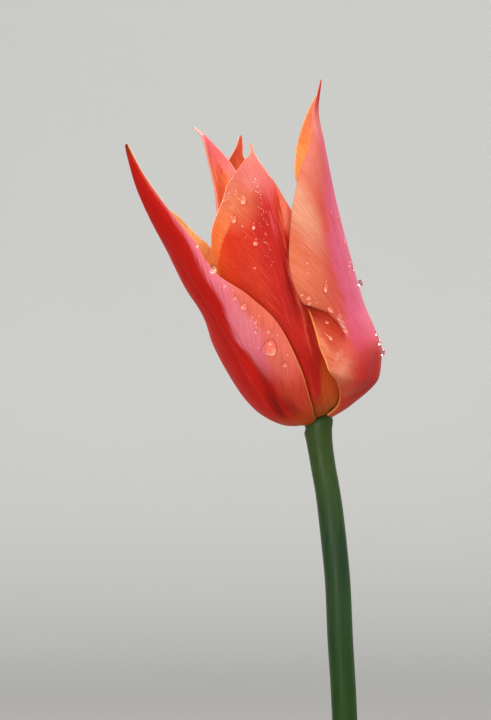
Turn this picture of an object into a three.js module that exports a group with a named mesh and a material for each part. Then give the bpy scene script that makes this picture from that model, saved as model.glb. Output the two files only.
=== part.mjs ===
// A single lily-flowered tulip in a small clear glass bud vase.
// Millimetres, +Z up. The origin is the centre of the vase's flat underside.
// The front of the vase and of the bloom faces -Y, and the bloom leans towards -X.
import * as THREE from 'three';

// Driving dimensions: the vase and the water in it.
const vaseHeight = 130;
const vaseFootRadius = 27;
const vaseBellyRadius = 32;
const vaseNeckRadius = 12.8;
const vaseLipRadius = 15;
const vaseWall = 2.5;
const vaseFloor = 8;
const footRounding = 1.5;
const neckHeight = 112;
const waterHeight = 84;

// Driving dimensions: the stem, and the place and lean of the bloom on its top.
const stemRadius = 3.2;
const stemTopRadius = 3.55;
const stemFlareLength = 22;
const stemFootShift = -2.7;
const bloomShift = -15.8;
const bloomHeight = 238;
const bloomLean = 17.2;

// Driving dimensions: the blades, and the clearance between pieces that touch.
const petalThickness = 0.7;
const leafThickness = 0.8;
const clearance = 0.3;

// The stem's centreline below the bloom, as sideways shift and depth.
const stemBends = [
  [0.5, 6.2],
  [1.4, 12],
  [2.4, 17.5],
  [3.4, 25],
  [4.9, 40],
  [5.6, 55],
  [6.3, 66.5],
];

// The receptacle steps in once: the outer petals sit round its lower step, the inner ones round its upper.
const receptacleStart = -1.2;
const lowerStepRadius = 3.6;
const lowerStepHeight = 0.38;
const upperStepRadius = 2.55;
const upperStepHeight = 1.9;

// Each blade is described by stations along its midrib. A station holds the height along the axis,
// the reach out from it, the sideways shift, the left and right half-widths, and how far the left and
// right halves turn inwards, in degrees. Seen from outside, with the tip up, left is the first side.
const outerRoot = [
  [0, lowerStepRadius + 0.4, 0, 3.5, 3.5, 25, 25],
  [1.3, 8.8, 0, 7.8, 7.8, 40, 40],
];
const innerRoot = [
  [1, upperStepRadius + 0.45, 0, 2.6, 2.6, 25, 25],
  [3, 7.5, 0, 6.3, 6.3, 38, 38],
  [8, 12.3, 0, 10, 10, 52, 52],
  [17, 15.5, 0, 13, 13, 59, 59],
];
const petals = [
  {
    name: 'petal_outer_left',
    azimuth: -47,
    color: '#c32a26',
    stations: [
      ...outerRoot,
      [5.5, 13.5, 0, 12, 11, 50, 50],
      [13, 17.1, 0, 15, 13.2, 55, 52],
      [25, 20.3, 0, 16.5, 13.4, 60, 48],
      [33, 22.6, 0, 16.5, 10.3, 80, 45],
      [40, 25.4, 0, 18, 6.6, 105, 40],
      [45.5, 27.2, 0, 20, 5.7, 130, 35],
      [50, 28.6, 0, 18, 5.6, 142, 35],
      [58, 31.8, 0, 9.6, 4.7, 132, 30],
      [68, 34, 0, 3.2, 2.8, 85, 20],
      [77.3, 33.9, 0, 0.4, 0.4, 0, 0],
    ],
  },
  {
    name: 'petal_outer_right',
    azimuth: 70,
    color: '#e0675a',
    stations: [
      ...outerRoot,
      [5, 17.2, 0, 15.4, 13, 50, 50],
      [13, 20.7, 0, 20.2, 16, 55, 55],
      [24, 19.5, 0, 18.7, 17, 58, 60],
      [36, 19.7, 0, 20.8, 17, 56, 60],
      [48, 20.3, 0, 16, 16, 58, 64],
      [58, 21.5, 0, 10.2, 15, 60, 115],
      [66, 22.5, 0, 4.2, 11.3, 60, 120],
      [73, 23.5, 0, 1.6, 4.4, 40, 115],
      [80, 26.8, 0, 0.3, 0.3, 0, 0],
    ],
  },
  {
    name: 'petal_outer_back',
    azimuth: 193,
    color: '#d8513f',
    stations: [
      ...outerRoot,
      [6, 16, 0, 13, 13, 50, 50],
      [14, 20, 0, 16, 16, 55, 55],
      [26, 20.8, 0, 16, 17, 58, 60],
      [38, 18.4, 0, 12.5, 15.5, 52, 60],
      [50, 14.2, 0, 7.6, 12, 45, 60],
      [60, 11.6, -1.5, 5.6, 8, 40, 50],
      [66.5, 10.2, -2.5, 3.4, 5.7, 40, 40],
      [69.8, 9.3, -3.2, 1, 2.8, 40, 40],
      [72.2, 8.6, -3.9, 0.8, 1, 40, 40],
      [74.6, 8, -4.8, 0.3, 0.3, 0, 0],
    ],
  },
  {
    name: 'petal_inner_front',
    azimuth: 11,
    color: '#cf3c28',
    stations: [
      ...innerRoot,
      [28, 16.9, 0, 15.8, 15, 56, 75],
      [40, 17.2, 0, 17.4, 14, 47, 95],
      [50, 16.6, 0.6, 16.6, 12, 45, 110],
      [58, 15.6, 1.2, 12.6, 6.6, 50, 110],
      [63, 14.4, 1.2, 8.9, 3.2, 50, 90],
      [65.6, 13.7, 1.1, 4.2, 1.2, 30, 50],
      [67.2, 13.3, 1.2, 1.2, 0.6, 10, 10],
      [69.7, 13, 1.5, 0.3, 0.3, 0, 0],
    ],
  },
  {
    name: 'petal_inner_left',
    azimuth: 253,
    color: '#e2795d',
    stations: [
      ...innerRoot,
      [28, 16.2, 0, 15, 15, 62, 62],
      [40, 13.6, 0, 15, 14, 72, 60],
      [50, 10.4, 0, 13, 10, 78, 40],
      [60, 7.8, 0, 10, 4.8, 85, 25],
      [70, 7, 0, 5.6, 2.8, 85, 25],
      [76.5, 7, 0, 1.6, 1, 40, 20],
      [79.4, 8.4, 0, 0.3, 0.3, 0, 0],
    ],
  },
  {
    name: 'petal_inner_back',
    azimuth: 133,
    color: '#d8573c',
    stations: [
      ...innerRoot,
      [28, 15.9, 0, 14, 13, 62, 62],
      [38, 15.5, 0, 10.5, 10, 60, 60],
      [46, 16.5, 0, 6, 5.6, 60, 60],
      [54, 19.2, 0, 4, 3.2, 60, 60],
      [62, 23, 0, 3, 2.4, 60, 60],
      [69, 26.6, 0, 1.8, 1.6, 50, 50],
      [73.5, 29.3, 0, 0.3, 0.3, 0, 0],
    ],
  },
];

// Each leaf clasps the stem at a depth below the bloom, rises a little and arches down beside the vase.
const claspRadius = stemRadius + clearance + leafThickness / 2;
const leaves = [
  {
    name: 'leaf_lower',
    azimuth: 70,
    depth: 107,
    wave: 1.6,
    stations: [
      [0, claspRadius, 0, 8, 8, 117.5, 117.5],
      [5, claspRadius, 0, 8, 8, 117.5, 117.5],
      [9, 4.9, 0, 10, 10, 110, 110],
      [12.5, 7.5, 0, 12, 12, 90, 90],
      [17.5, 13.5, 0, 14, 14, 74, 74],
      [21.5, 24, 0, 15.6, 15.6, 60, 60],
      [21.8, 37, 0, 16, 16, 52, 52],
      [17.5, 51, 0, 15.2, 15.2, 48, 48],
      [8, 66, 0, 13, 13, 46, 46],
      [-5, 79, 0, 9.6, 9.6, 42, 42],
      [-19, 88, 0, 5.4, 5.4, 34, 34],
      [-30, 92.5, 0, 0.4, 0.4, 0, 0],
    ],
  },
  {
    name: 'leaf_upper',
    azimuth: -100,
    depth: 95,
    wave: 1.3,
    stations: [
      [0, claspRadius, 0, 7.4, 7.4, 108.7, 108.7],
      [4.5, claspRadius, 0, 7.4, 7.4, 108.7, 108.7],
      [8.3, 5.4, 0, 9.2, 9.2, 98, 98],
      [11.2, 10.2, 0, 10.8, 10.8, 78, 78],
      [12.4, 19, 0, 12.2, 12.2, 60, 60],
      [11, 30, 0, 12.6, 12.6, 52, 52],
      [6, 42, 0, 11.6, 11.6, 48, 48],
      [-3, 53, 0, 9.4, 9.4, 44, 44],
      [-14, 61, 0, 6.2, 6.2, 38, 38],
      [-26, 66, 0, 2.6, 2.6, 26, 26],
      [-32, 67.5, 0, 0.4, 0.4, 0, 0],
    ],
  },
];

// A stamen's sections, as reach from the axis, height, and half-thickness across and along the ring.
const stamenSections = [
  [1.95, upperStepHeight + clearance, 0.42, 0.6],
  [3.5, 4.6, 0.5, 0.75],
  [4.9, 8.4, 0.42, 0.6],
  [5.7, 12.2, 0.3, 0.35],
  [5.8, 12.9, 0.8, 1.1],
  [6.3, 17, 0.95, 1.35],
  [6.9, 22, 0.9, 1.25],
  [7.4, 26.3, 0.4, 0.5],
];

// The pistil's sections, as height, radius and how strongly the radius swells into three lobes.
const pistilAzimuth = 30;
const pistilSections = [
  [upperStepHeight + clearance, 1.1, 0],
  [3.1, 1.7, 0.05],
  [6, 2.5, 0.08],
  [12, 2.55, 0.08],
  [16, 2.15, 0.08],
  [17, 2, 0.1],
  [17.8, 2.8, 0.26],
  [18.8, 3.25, 0.3],
  [19.7, 2.8, 0.28],
  [20.2, 1.4, 0.2],
];

// How finely the round pieces and the blades are divided.
const vaseSides = 36;
const stemSides = 12;
const stemRings = 26;
const stamenSides = 8;
const pistilSides = 18;
const petalRows = 22;
const leafRows = 22;
const petalColumns = 5;
const leafColumns = 4;

const up = new THREE.Vector3(0, 0, 1);
const front = new THREE.Vector3(0, -1, 0);
const degree = Math.PI / 180;

// A frame that a bloom or a leaf grows in: its root, the axis it grows along, and its right.
function growthFrame(root, axis) {
  const right = new THREE.Vector3().crossVectors(axis, front).normalize();
  return { root, axis, right };
}

function place(frame, outward, along, reach, height, shift) {
  return frame.root.clone()
    .addScaledVector(frame.axis, height)
    .addScaledVector(outward, reach)
    .addScaledVector(along, shift);
}

// The outward direction at an azimuth, and the direction along the ring there. Azimuth 0 is the front.
function ringDirections(frame, azimuth) {
  const cos = Math.cos(azimuth * degree);
  const sin = Math.sin(azimuth * degree);
  const outward = front.clone().multiplyScalar(cos).addScaledVector(frame.right, sin);
  const along = front.clone().multiplyScalar(-sin).addScaledVector(frame.right, cos);
  return { outward, along };
}

// Where each station lies on the midrib, from 0 at the root to 1 at the tip.
function midribKnots(stations) {
  const knots = [0];
  for (let i = 1; i < stations.length; i += 1) {
    const step = Math.hypot(...[0, 1, 2].map((k) => stations[i][k] - stations[i - 1][k]));
    knots.push(knots[i - 1] + step);
  }
  return knots.map((knot) => knot / knots[knots.length - 1]);
}

// All values of a station at t, on a smooth curve through the stations.
function stationAt(stations, knots, t) {
  const last = stations.length - 1;
  let i = 0;
  while (i < last - 1 && knots[i + 1] < t) {
    i += 1;
  }
  const span = knots[i + 1] - knots[i];
  const u = (t - knots[i]) / span;
  const slope = (k, column) => {
    const before = Math.max(k - 1, 0);
    const after = Math.min(k + 1, last);
    return (stations[after][column] - stations[before][column]) / (knots[after] - knots[before]);
  };
  return stations[i].map((value, column) => {
    const next = stations[i + 1][column];
    const ease = u * u * (3 - 2 * u);
    const bow = u * (1 - u) * span * ((1 - u) * slope(i, column) - u * slope(i + 1, column));
    return value + (next - value) * ease + bow;
  });
}

// Rows lie closer together near the root and the tip, where a blade turns most.
function rowPlace(row, rows) {
  const even = row / rows;
  const crowding = 0.5;
  return even - (crowding * Math.sin(2 * Math.PI * even)) / (2 * Math.PI);
}

// The middle surface of a blade, as rows from root to tip of points from margin to margin.
function bladeSurface(blade, frame, rows, columns) {
  const { outward, along } = ringDirections(frame, blade.azimuth);
  const knots = midribKnots(blade.stations);
  const values = [];
  const midrib = [];
  for (let row = 0; row <= rows; row += 1) {
    const value = stationAt(blade.stations, knots, rowPlace(row, rows));
    values.push(value);
    midrib.push(place(frame, outward, along, value[1], value[0], value[2]));
  }
  return midrib.map((middle, row) => {
    const tangent = midrib[Math.min(row + 1, rows)].clone()
      .sub(midrib[Math.max(row - 1, 0)]).normalize();
    const across = along.clone().addScaledVector(tangent, -tangent.dot(along)).normalize();
    const inward = new THREE.Vector3().crossVectors(tangent, across);
    const line = [middle];
    for (const side of [-1, 1]) {
      const width = Math.max(side < 0 ? values[row][3] : values[row][4], 0.2);
      const bend = (side < 0 ? values[row][5] : values[row][6]) * degree;
      const point = middle.clone();
      for (let k = 1; k <= columns; k += 1) {
        const turn = bend * ((k - 0.5) / columns);
        point.addScaledVector(across, (side * Math.cos(turn) * width) / columns);
        point.addScaledVector(inward, (Math.sin(turn) * width) / columns);
        const wave = marginWave(blade, row / rows, side) * (k / columns) ** 2;
        const shown = point.clone().addScaledVector(inward, wave);
        if (side < 0) {
          line.unshift(shown);
        } else {
          line.push(shown);
        }
      }
    }
    return line;
  });
}

// The waving of a leaf's margin, which fades towards the clasp and the tip.
function marginWave(blade, t, side) {
  if (!blade.wave) {
    return 0;
  }
  const waves = 2.6;
  const fade = Math.sin(Math.PI * Math.min(1, Math.max(0, (t - 0.2) / 0.75)));
  return blade.wave * fade * Math.sin(2 * Math.PI * waves * t + side * 1.1);
}

// The unit normal of the surface at one of its points, on the blade's outer side.
function surfaceNormal(surface, row, column) {
  const rows = surface.length - 1;
  const columns = surface[0].length - 1;
  const lengthwise = surface[Math.min(row + 1, rows)][column].clone()
    .sub(surface[Math.max(row - 1, 0)][column]);
  const crosswise = surface[row][Math.min(column + 1, columns)].clone()
    .sub(surface[row][Math.max(column - 1, 0)]);
  return new THREE.Vector3().crossVectors(crosswise, lengthwise).normalize();
}

function geometryFrom(points, faces) {
  const geometry = new THREE.BufferGeometry().setFromPoints(points);
  geometry.setIndex(faces);
  geometry.computeVertexNormals();
  return geometry;
}

// A blade of even thickness round its middle surface, split alike on both faces.
function bladeGeometry(surface, thickness) {
  const rows = surface.length;
  const columns = surface[0].length;
  const points = [];
  for (const side of [0.5, -0.5]) {
    surface.forEach((line, row) => line.forEach((point, column) => {
      const normal = surfaceNormal(surface, row, column);
      points.push(point.clone().addScaledVector(normal, side * thickness));
    }));
  }
  const outer = (row, column) => row * columns + column;
  const inner = (row, column) => rows * columns + row * columns + column;
  const faces = [];
  for (let row = 0; row < rows - 1; row += 1) {
    for (let column = 0; column < columns - 1; column += 1) {
      faces.push(outer(row, column), outer(row, column + 1), outer(row + 1, column + 1));
      faces.push(outer(row, column), outer(row + 1, column + 1), outer(row + 1, column));
      faces.push(inner(row, column), inner(row + 1, column + 1), inner(row, column + 1));
      faces.push(inner(row, column), inner(row + 1, column), inner(row + 1, column + 1));
    }
  }
  const rim = [];
  for (let column = 0; column < columns - 1; column += 1) {
    rim.push([0, column]);
  }
  for (let row = 0; row < rows - 1; row += 1) {
    rim.push([row, columns - 1]);
  }
  for (let column = columns - 1; column > 0; column -= 1) {
    rim.push([rows - 1, column]);
  }
  for (let row = rows - 1; row > 0; row -= 1) {
    rim.push([row, 0]);
  }
  rim.forEach((here, k) => {
    const there = rim[(k + 1) % rim.length];
    faces.push(outer(...here), inner(...here), inner(...there));
    faces.push(outer(...here), inner(...there), outer(...there));
  });
  return geometryFrom(points, faces);
}

// A solid through a row of rings with equal numbers of points, either capped or joined end to end.
function ringGeometry(rings, joined = false) {
  const sides = rings[0].length;
  const points = rings.flat();
  const faces = [];
  const bands = joined ? rings.length : rings.length - 1;
  for (let band = 0; band < bands; band += 1) {
    const next = (band + 1) % rings.length;
    for (let k = 0; k < sides; k += 1) {
      const turn = (k + 1) % sides;
      faces.push(band * sides + k, band * sides + turn, next * sides + turn);
      faces.push(band * sides + k, next * sides + turn, next * sides + k);
    }
  }
  if (!joined) {
    const lastRing = (rings.length - 1) * sides;
    points.push(ringCentre(rings[0]), ringCentre(rings[rings.length - 1]));
    for (let k = 0; k < sides; k += 1) {
      const turn = (k + 1) % sides;
      faces.push(points.length - 2, turn, k);
      faces.push(points.length - 1, lastRing + k, lastRing + turn);
    }
  }
  return geometryFrom(points, faces);
}

function ringCentre(ring) {
  const centre = new THREE.Vector3();
  ring.forEach((point) => centre.add(point));
  return centre.divideScalar(ring.length);
}

// A ring of points round a centre, between two directions at right angles.
function ringOf(centre, first, second, sides, radiusAt) {
  const ring = [];
  for (let k = 0; k < sides; k += 1) {
    const angle = (2 * Math.PI * k) / sides;
    const [a, b] = radiusAt(angle);
    ring.push(centre.clone()
      .addScaledVector(first, a * Math.cos(angle))
      .addScaledVector(second, b * Math.sin(angle)));
  }
  return ring;
}

// The outer outline of the vase from its foot to its lip, as radius and height.
function vaseOutline() {
  const curve = new THREE.SplineCurve([
    new THREE.Vector2(vaseFootRadius, footRounding),
    new THREE.Vector2(vaseFootRadius + 0.7 * (vaseBellyRadius - vaseFootRadius), 14),
    new THREE.Vector2(vaseBellyRadius, 34),
    new THREE.Vector2(vaseBellyRadius - 2.6, 56),
    new THREE.Vector2((vaseBellyRadius + vaseNeckRadius) / 2 - 1.4, 80),
    new THREE.Vector2(vaseNeckRadius + 1.5, 98),
    new THREE.Vector2(vaseNeckRadius, neckHeight),
    new THREE.Vector2(vaseNeckRadius + 0.7, 122),
    new THREE.Vector2(vaseLipRadius, vaseHeight - vaseWall / 2),
  ]);
  return curve.getPoints(15);
}

// The inside of the vase from the rounded corner of its floor to its lip, as radius and height.
function insideOutline(outline) {
  const corner = 3;
  const wall = outline.filter((point) => point.y > vaseFloor + corner / 2)
    .map((point) => new THREE.Vector2(point.x - vaseWall, point.y));
  return [new THREE.Vector2(wall[0].x - corner, vaseFloor), ...wall];
}

function vaseMesh(outline) {
  const lip = outline[outline.length - 1];
  const profile = [new THREE.Vector2(0, 0), new THREE.Vector2(vaseFootRadius - footRounding, 0)];
  profile.push(...outline);
  for (const angle of [45, 90, 135]) {
    const x = lip.x - vaseWall / 2 + (vaseWall / 2) * Math.cos(angle * degree);
    profile.push(new THREE.Vector2(x, lip.y + (vaseWall / 2) * Math.sin(angle * degree)));
  }
  profile.push(...insideOutline(outline).reverse(), new THREE.Vector2(0, vaseFloor));
  const geometry = new THREE.LatheGeometry(profile, vaseSides);
  geometry.rotateX(Math.PI / 2);
  const glass = new THREE.MeshStandardMaterial({
    color: '#dfe9e6',
    roughness: 0.05,
    transparent: true,
    opacity: 0.35,
  });
  return named('vase', geometry, glass);
}

// The stem's centreline, from the vase's floor, past the side of its neck, to the bloom.
function stemPath() {
  const neckShift = -(vaseNeckRadius - vaseWall - clearance - stemRadius);
  const foot = vaseFloor + clearance;
  const points = [new THREE.Vector3(stemFootShift, 0, foot)];
  for (const share of [1 / 3, 2 / 3, 1]) {
    const x = stemFootShift + (neckShift - stemFootShift) * share;
    points.push(new THREE.Vector3(x, 0, foot + (neckHeight - foot) * share));
  }
  for (const [shift, depth] of [...stemBends].reverse()) {
    points.push(new THREE.Vector3(bloomShift + shift, 0, bloomHeight - depth));
  }
  return new THREE.CatmullRomCurve3(points);
}

// Where the stem is at a height, and its direction there.
function stemAt(path, height) {
  let low = 0;
  let high = 1;
  for (let step = 0; step < 30; step += 1) {
    const middle = (low + high) / 2;
    if (path.getPoint(middle).z < height) {
      low = middle;
    } else {
      high = middle;
    }
  }
  return { point: path.getPoint(low), tangent: path.getTangent(low) };
}

function stemMesh(path, bloom) {
  const depthFront = front.clone().negate();
  const rings = [];
  for (let k = 0; k < stemRings; k += 1) {
    const t = k / (stemRings - 1);
    const centre = path.getPointAt(t);
    const side = new THREE.Vector3().crossVectors(depthFront, path.getTangentAt(t)).normalize();
    const flare = Math.max(0, 1 - (bloomHeight - centre.z) / stemFlareLength);
    const radius = stemRadius + (stemTopRadius - stemRadius) * flare;
    rings.push(ringOf(centre, side, depthFront, stemSides, () => [radius, radius]));
  }
  const receptacle = [
    [receptacleStart, lowerStepRadius],
    [lowerStepHeight, lowerStepRadius],
    [lowerStepHeight, upperStepRadius],
    [upperStepHeight, upperStepRadius],
  ];
  for (const [height, radius] of receptacle) {
    const centre = bloom.root.clone().addScaledVector(bloom.axis, height);
    rings.push(ringOf(centre, bloom.right, depthFront, stemSides, () => [radius, radius]));
  }
  return named('stem', ringGeometry(rings), plantMaterial('#55703f', 0.55));
}

// The water fills the vase up to its level and leaves a plain hole for the stem.
function waterMesh(outline, path) {
  const holeRadius = stemRadius + clearance;
  const east = new THREE.Vector3(1, 0, 0);
  const north = new THREE.Vector3(0, 1, 0);
  const outside = ({ x, y }) => {
    const centre = new THREE.Vector3(0, 0, y);
    return ringOf(centre, east, north, vaseSides, () => [x - clearance, x - clearance]);
  };
  const hole = (height) => {
    const { point, tangent } = stemAt(path, height);
    const centre = new THREE.Vector3(point.x, 0, height);
    const stretch = 1 / tangent.z;
    return ringOf(centre, east, north, vaseSides, () => [holeRadius * stretch, holeRadius]);
  };
  const inside = insideOutline(outline);
  const wetted = inside.filter((point) => point.y < waterHeight);
  const dry = inside[wetted.length];
  const last = wetted[wetted.length - 1];
  wetted.push(last.clone().lerp(dry, (waterHeight - last.y) / (dry.y - last.y)));
  wetted[0].y += clearance;
  const rings = [hole(wetted[0].y), ...wetted.map(outside), hole(waterHeight), hole(waterHeight / 2)];
  const water = new THREE.MeshStandardMaterial({
    color: '#e4efee',
    roughness: 0.02,
    transparent: true,
    opacity: 0.25,
  });
  return named('water', ringGeometry(rings, true), water);
}

function stamenMesh(bloom, number, azimuth) {
  const { outward, along } = ringDirections(bloom, azimuth);
  const rings = stamenSections.map(([reach, height, across, round]) => {
    const centre = place(bloom, outward, along, reach, height, 0);
    return ringOf(centre, outward, along, stamenSides, () => [across, round]);
  });
  return named(`stamen_${number}`, ringGeometry(rings), plantMaterial('#c9a33a', 0.8));
}

function pistilMesh(bloom) {
  const { outward, along } = ringDirections(bloom, pistilAzimuth);
  const rings = pistilSections.map(([height, radius, lobe]) => {
    const centre = bloom.root.clone().addScaledVector(bloom.axis, height);
    return ringOf(centre, outward, along, pistilSides, (angle) => {
      const swollen = radius * (1 + lobe * Math.cos(3 * angle));
      return [swollen, swollen];
    });
  });
  return named('pistil', ringGeometry(rings), plantMaterial('#b9c477', 0.6));
}

function plantMaterial(color, roughness) {
  return new THREE.MeshStandardMaterial({ color, roughness, metalness: 0, side: THREE.DoubleSide });
}

function named(name, geometry, material) {
  const mesh = new THREE.Mesh(geometry, material);
  mesh.name = name;
  return mesh;
}

function tulipInVase() {
  const lean = bloomLean * degree;
  const bloomRoot = new THREE.Vector3(bloomShift, 0, bloomHeight);
  const bloomAxis = up.clone().multiplyScalar(Math.cos(lean));
  bloomAxis.x = -Math.sin(lean);
  const bloom = growthFrame(bloomRoot, bloomAxis);
  const path = stemPath();
  const outline = vaseOutline();
  const group = new THREE.Group();
  group.add(vaseMesh(outline), waterMesh(outline, path), stemMesh(path, bloom), pistilMesh(bloom));
  for (const petal of petals) {
    const surface = bladeSurface(petal, bloom, petalRows, petalColumns);
    const geometry = bladeGeometry(surface, petalThickness);
    group.add(named(petal.name, geometry, plantMaterial(petal.color, 0.5)));
  }
  petals.map((petal) => petal.azimuth).sort((a, b) => a - b).forEach((azimuth, k) => {
    group.add(stamenMesh(bloom, k + 1, azimuth));
  });
  for (const leaf of leaves) {
    const { point, tangent } = stemAt(path, bloomHeight - leaf.depth);
    const surface = bladeSurface(leaf, growthFrame(point, tangent), leafRows, leafColumns);
    group.add(named(leaf.name, bladeGeometry(surface, leafThickness), plantMaterial('#5f8256', 0.5)));
  }
  return group;
}

const group = tulipInVase();

export default group;
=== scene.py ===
import math
import bpy
import numpy as np
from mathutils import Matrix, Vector
from mathutils.bvhtree import BVHTree


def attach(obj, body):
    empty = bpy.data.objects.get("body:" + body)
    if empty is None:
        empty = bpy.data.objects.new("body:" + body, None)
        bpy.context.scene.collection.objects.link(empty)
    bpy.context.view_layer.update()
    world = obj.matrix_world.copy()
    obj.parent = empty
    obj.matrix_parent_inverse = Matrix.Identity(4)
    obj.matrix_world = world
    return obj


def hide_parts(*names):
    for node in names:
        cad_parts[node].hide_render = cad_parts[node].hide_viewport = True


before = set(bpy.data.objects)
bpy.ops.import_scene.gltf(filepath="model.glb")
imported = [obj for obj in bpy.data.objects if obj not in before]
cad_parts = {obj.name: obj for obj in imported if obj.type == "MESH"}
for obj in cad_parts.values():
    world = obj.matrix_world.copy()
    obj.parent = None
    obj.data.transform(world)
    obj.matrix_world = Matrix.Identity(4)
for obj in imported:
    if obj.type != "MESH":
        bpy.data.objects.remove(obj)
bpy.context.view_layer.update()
scene = bpy.context.scene
mm = 0.001
print("frame loaded:", len(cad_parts), "nodes")


def linearColour(code):
    # sRGB hex to the linear colour that Blender's sockets take
    parts = [int(code[i:i + 2], 16) / 255 for i in (1, 3, 5)]
    return [p / 12.92 if p <= 0.04045 else ((p + 0.055) / 1.055) ** 2.4 for p in parts] + [1.0]


def findSocket(sockets, key):
    # a Mix node has several sockets of one name, and only one of them is switched on
    if isinstance(key, int):
        return sockets[key]
    return next(s for s in sockets if s.name == key and s.enabled)


def addNode(tree, kind, settings=None, links=None):
    # a setting in small letters is the node's own, any other is the value of a socket
    node = tree.nodes.new("ShaderNode" + kind)
    values = dict(settings or {})
    for key in [k for k in values if isinstance(k, str) and k[0].islower() and k != "stops"]:
        setattr(node, key, values.pop(key))
    for k, (place, code) in enumerate(values.pop("stops", [])):
        # a new ramp starts with one stop at each end
        elements = node.color_ramp.elements
        element = elements[k] if k < 2 else elements.new(place)
        element.position = place
        element.color = linearColour(code)
    for key, value in values.items():
        socket = findSocket(node.inputs, key)
        socket.default_value = linearColour(value) if isinstance(value, str) else value
    for key, source in (links or {}).items():
        if not isinstance(source, bpy.types.NodeSocket):
            source = next(s for s in source.outputs if s.enabled)
        tree.links.new(source, findSocket(node.inputs, key))
    return node


def newMaterial(name):
    material = bpy.data.materials.new(name)
    material.use_nodes = True
    material.node_tree.nodes.clear()
    return material, material.node_tree


def finishMaterial(tree, shader):
    addNode(tree, "OutputMaterial", links={"Surface": shader})


def calculate(tree, operation, *values):
    # a Math node: numbers are set on its sockets, nodes are linked to them
    numbers = {k: value for k, value in enumerate(values) if isinstance(value, (int, float))}
    sources = {k: value for k, value in enumerate(values) if k not in numbers}
    return addNode(tree, "Math", {"operation": operation, **numbers}, sources)


def smoothStep(tree, source, low, high, toLow=0.0, toHigh=1.0):
    settings = {"interpolation_type": "SMOOTHSTEP", "From Min": low, "From Max": high, "To Min": toLow,
                "To Max": toHigh}
    return addNode(tree, "MapRange", settings, {"Value": source})


def smoothMm(tree, source, low, high):
    # the same on a distance of a UV map, with its limits in mm
    return smoothStep(tree, source, low / 100, high / 100)


def mixColour(tree, factor, under, over, strength=1.0, blend="MIX"):
    if strength != 1.0:
        factor = calculate(tree, "MULTIPLY", factor, strength)
    settings = {"data_type": "RGBA", "blend_type": blend}
    links = {"Factor": factor}
    for key, value in (("A", under), ("B", over)):
        (settings if isinstance(value, str) else links)[key] = value
    return addNode(tree, "Mix", settings, links)


def noise(tree, place, scale, detail, roughness=0.5):
    # a scale for each axis draws the grains out
    if isinstance(scale, tuple):
        place = addNode(tree, "Mapping", {"Scale": scale}, {"Vector": place})
        scale = 1.0
    settings = {"Scale": scale, "Detail": detail, "Roughness": roughness}
    return addNode(tree, "TexNoise", settings, {"Vector": place})


def bumpFrom(tree, height, strength, depth):
    # depth in mm
    return addNode(tree, "Bump", {"Strength": strength, "Distance": depth * mm}, {"Height": height})


def objectPlace(tree):
    return addNode(tree, "TexCoord").outputs["Object"]


def uvMap(tree, name):
    # a UV map, and its two distances apart; 100 mm on the piece are 1 in the map
    node = addNode(tree, "UVMap", {"uv_map": name})
    apart = addNode(tree, "SeparateXYZ", links={0: node})
    return node, apart.outputs[0], apart.outputs[1]


def fromMiddle(tree, across, shift=0.0):
    # distance on both sides of the midrib, or of a line beside it; the map has the midrib at 0.5
    return calculate(tree, "ABSOLUTE", calculate(tree, "SUBTRACT", across, 0.5 + shift))


def veinLines(tree, place, spacing, wander, fineness):
    # fine lengthwise ridges, their spacing in mm; a wave of scale 31.416 repeats every mm of a UV map
    settings = {"wave_type": "BANDS", "bands_direction": "X", "wave_profile": "SIN", "Detail": 2.0,
                "Scale": 31.416 / spacing, "Distortion": wander, "Detail Scale": fineness}
    return addNode(tree, "TexWave", settings, {"Vector": place})


def deselectAll():
    if bpy.context.object and bpy.context.object.mode != "OBJECT":
        bpy.ops.object.mode_set(mode="OBJECT")
    bpy.ops.object.select_all(action="DESELECT")


def applyModifiers(piece):
    deselectAll()
    piece.select_set(True)
    bpy.context.view_layer.objects.active = piece
    for modifier in list(piece.modifiers):
        bpy.ops.object.modifier_apply(modifier=modifier.name)


def joinPieces(pieces, name):
    deselectAll()
    for piece in pieces:
        piece.select_set(True)
    bpy.context.view_layer.objects.active = pieces[0]
    bpy.ops.object.join()
    pieces[0].name = name
    return pieces[0]


def curveThrough(table, knots, places):
    # a smooth curve through the rows of a table, whose knots say how far along each row lies
    last = len(table) - 1
    slopes = np.array([(table[min(i + 1, last)] - table[max(i - 1, 0)])
                       / (knots[min(i + 1, last)] - knots[max(i - 1, 0)]) for i in range(last + 1)])
    out = []
    for place in places:
        i = min(max(int(np.searchsorted(knots, place)) - 1, 0), last - 1)
        span = knots[i + 1] - knots[i]
        u = (place - knots[i]) / span
        ease = u * u * (3 - 2 * u)
        bow = u * (1 - u) * span * ((1 - u) * slopes[i] - u * slopes[i + 1])
        out.append(table[i] + (table[i + 1] - table[i]) * ease + bow)
    return np.array(out)


def lengthKnots(points):
    return np.concatenate([[0], np.cumsum(np.linalg.norm(np.diff(points, axis=0), axis=1))])


# petals and leaves are blades: thin sheets that grow from a root along an axis
lean = math.radians(17.2)
bloomRoot = np.array([-15.8, 0, 238.0])
bloomAxis = np.array([-math.sin(lean), 0, math.cos(lean)])
bladeForm = {
    "narrowest": 0.2,             # half width of the very tip, in mm
    "crowding": 0.35,             # how much closer the rows stand at the root and the tip
    "thinRim": 2.2,               # width in mm over which the wall thins to the margin
    "lipStep": 0.28,              # width in mm of the step under a lip
    "lipDraw": 0.9,               # how far in mm the margin is drawn in under a lip
    "lipShade": (3.3, 0.2),       # how far in mm the painted shade reaches below and above a lip
    "sideLag": 1.1}               # how far the ripples of the two margins are out of step


def growthFrame(axis, azimuth):
    # outward and along-the-ring directions at an azimuth round the axis; azimuth 0 is the front
    front = np.array([0, -1.0, 0])
    right = np.cross(axis, front)
    turn = math.radians(azimuth)
    outward = front * math.cos(turn) + right * math.sin(turn)
    along = -front * math.sin(turn) + right * math.cos(turn)
    return outward, along


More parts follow.
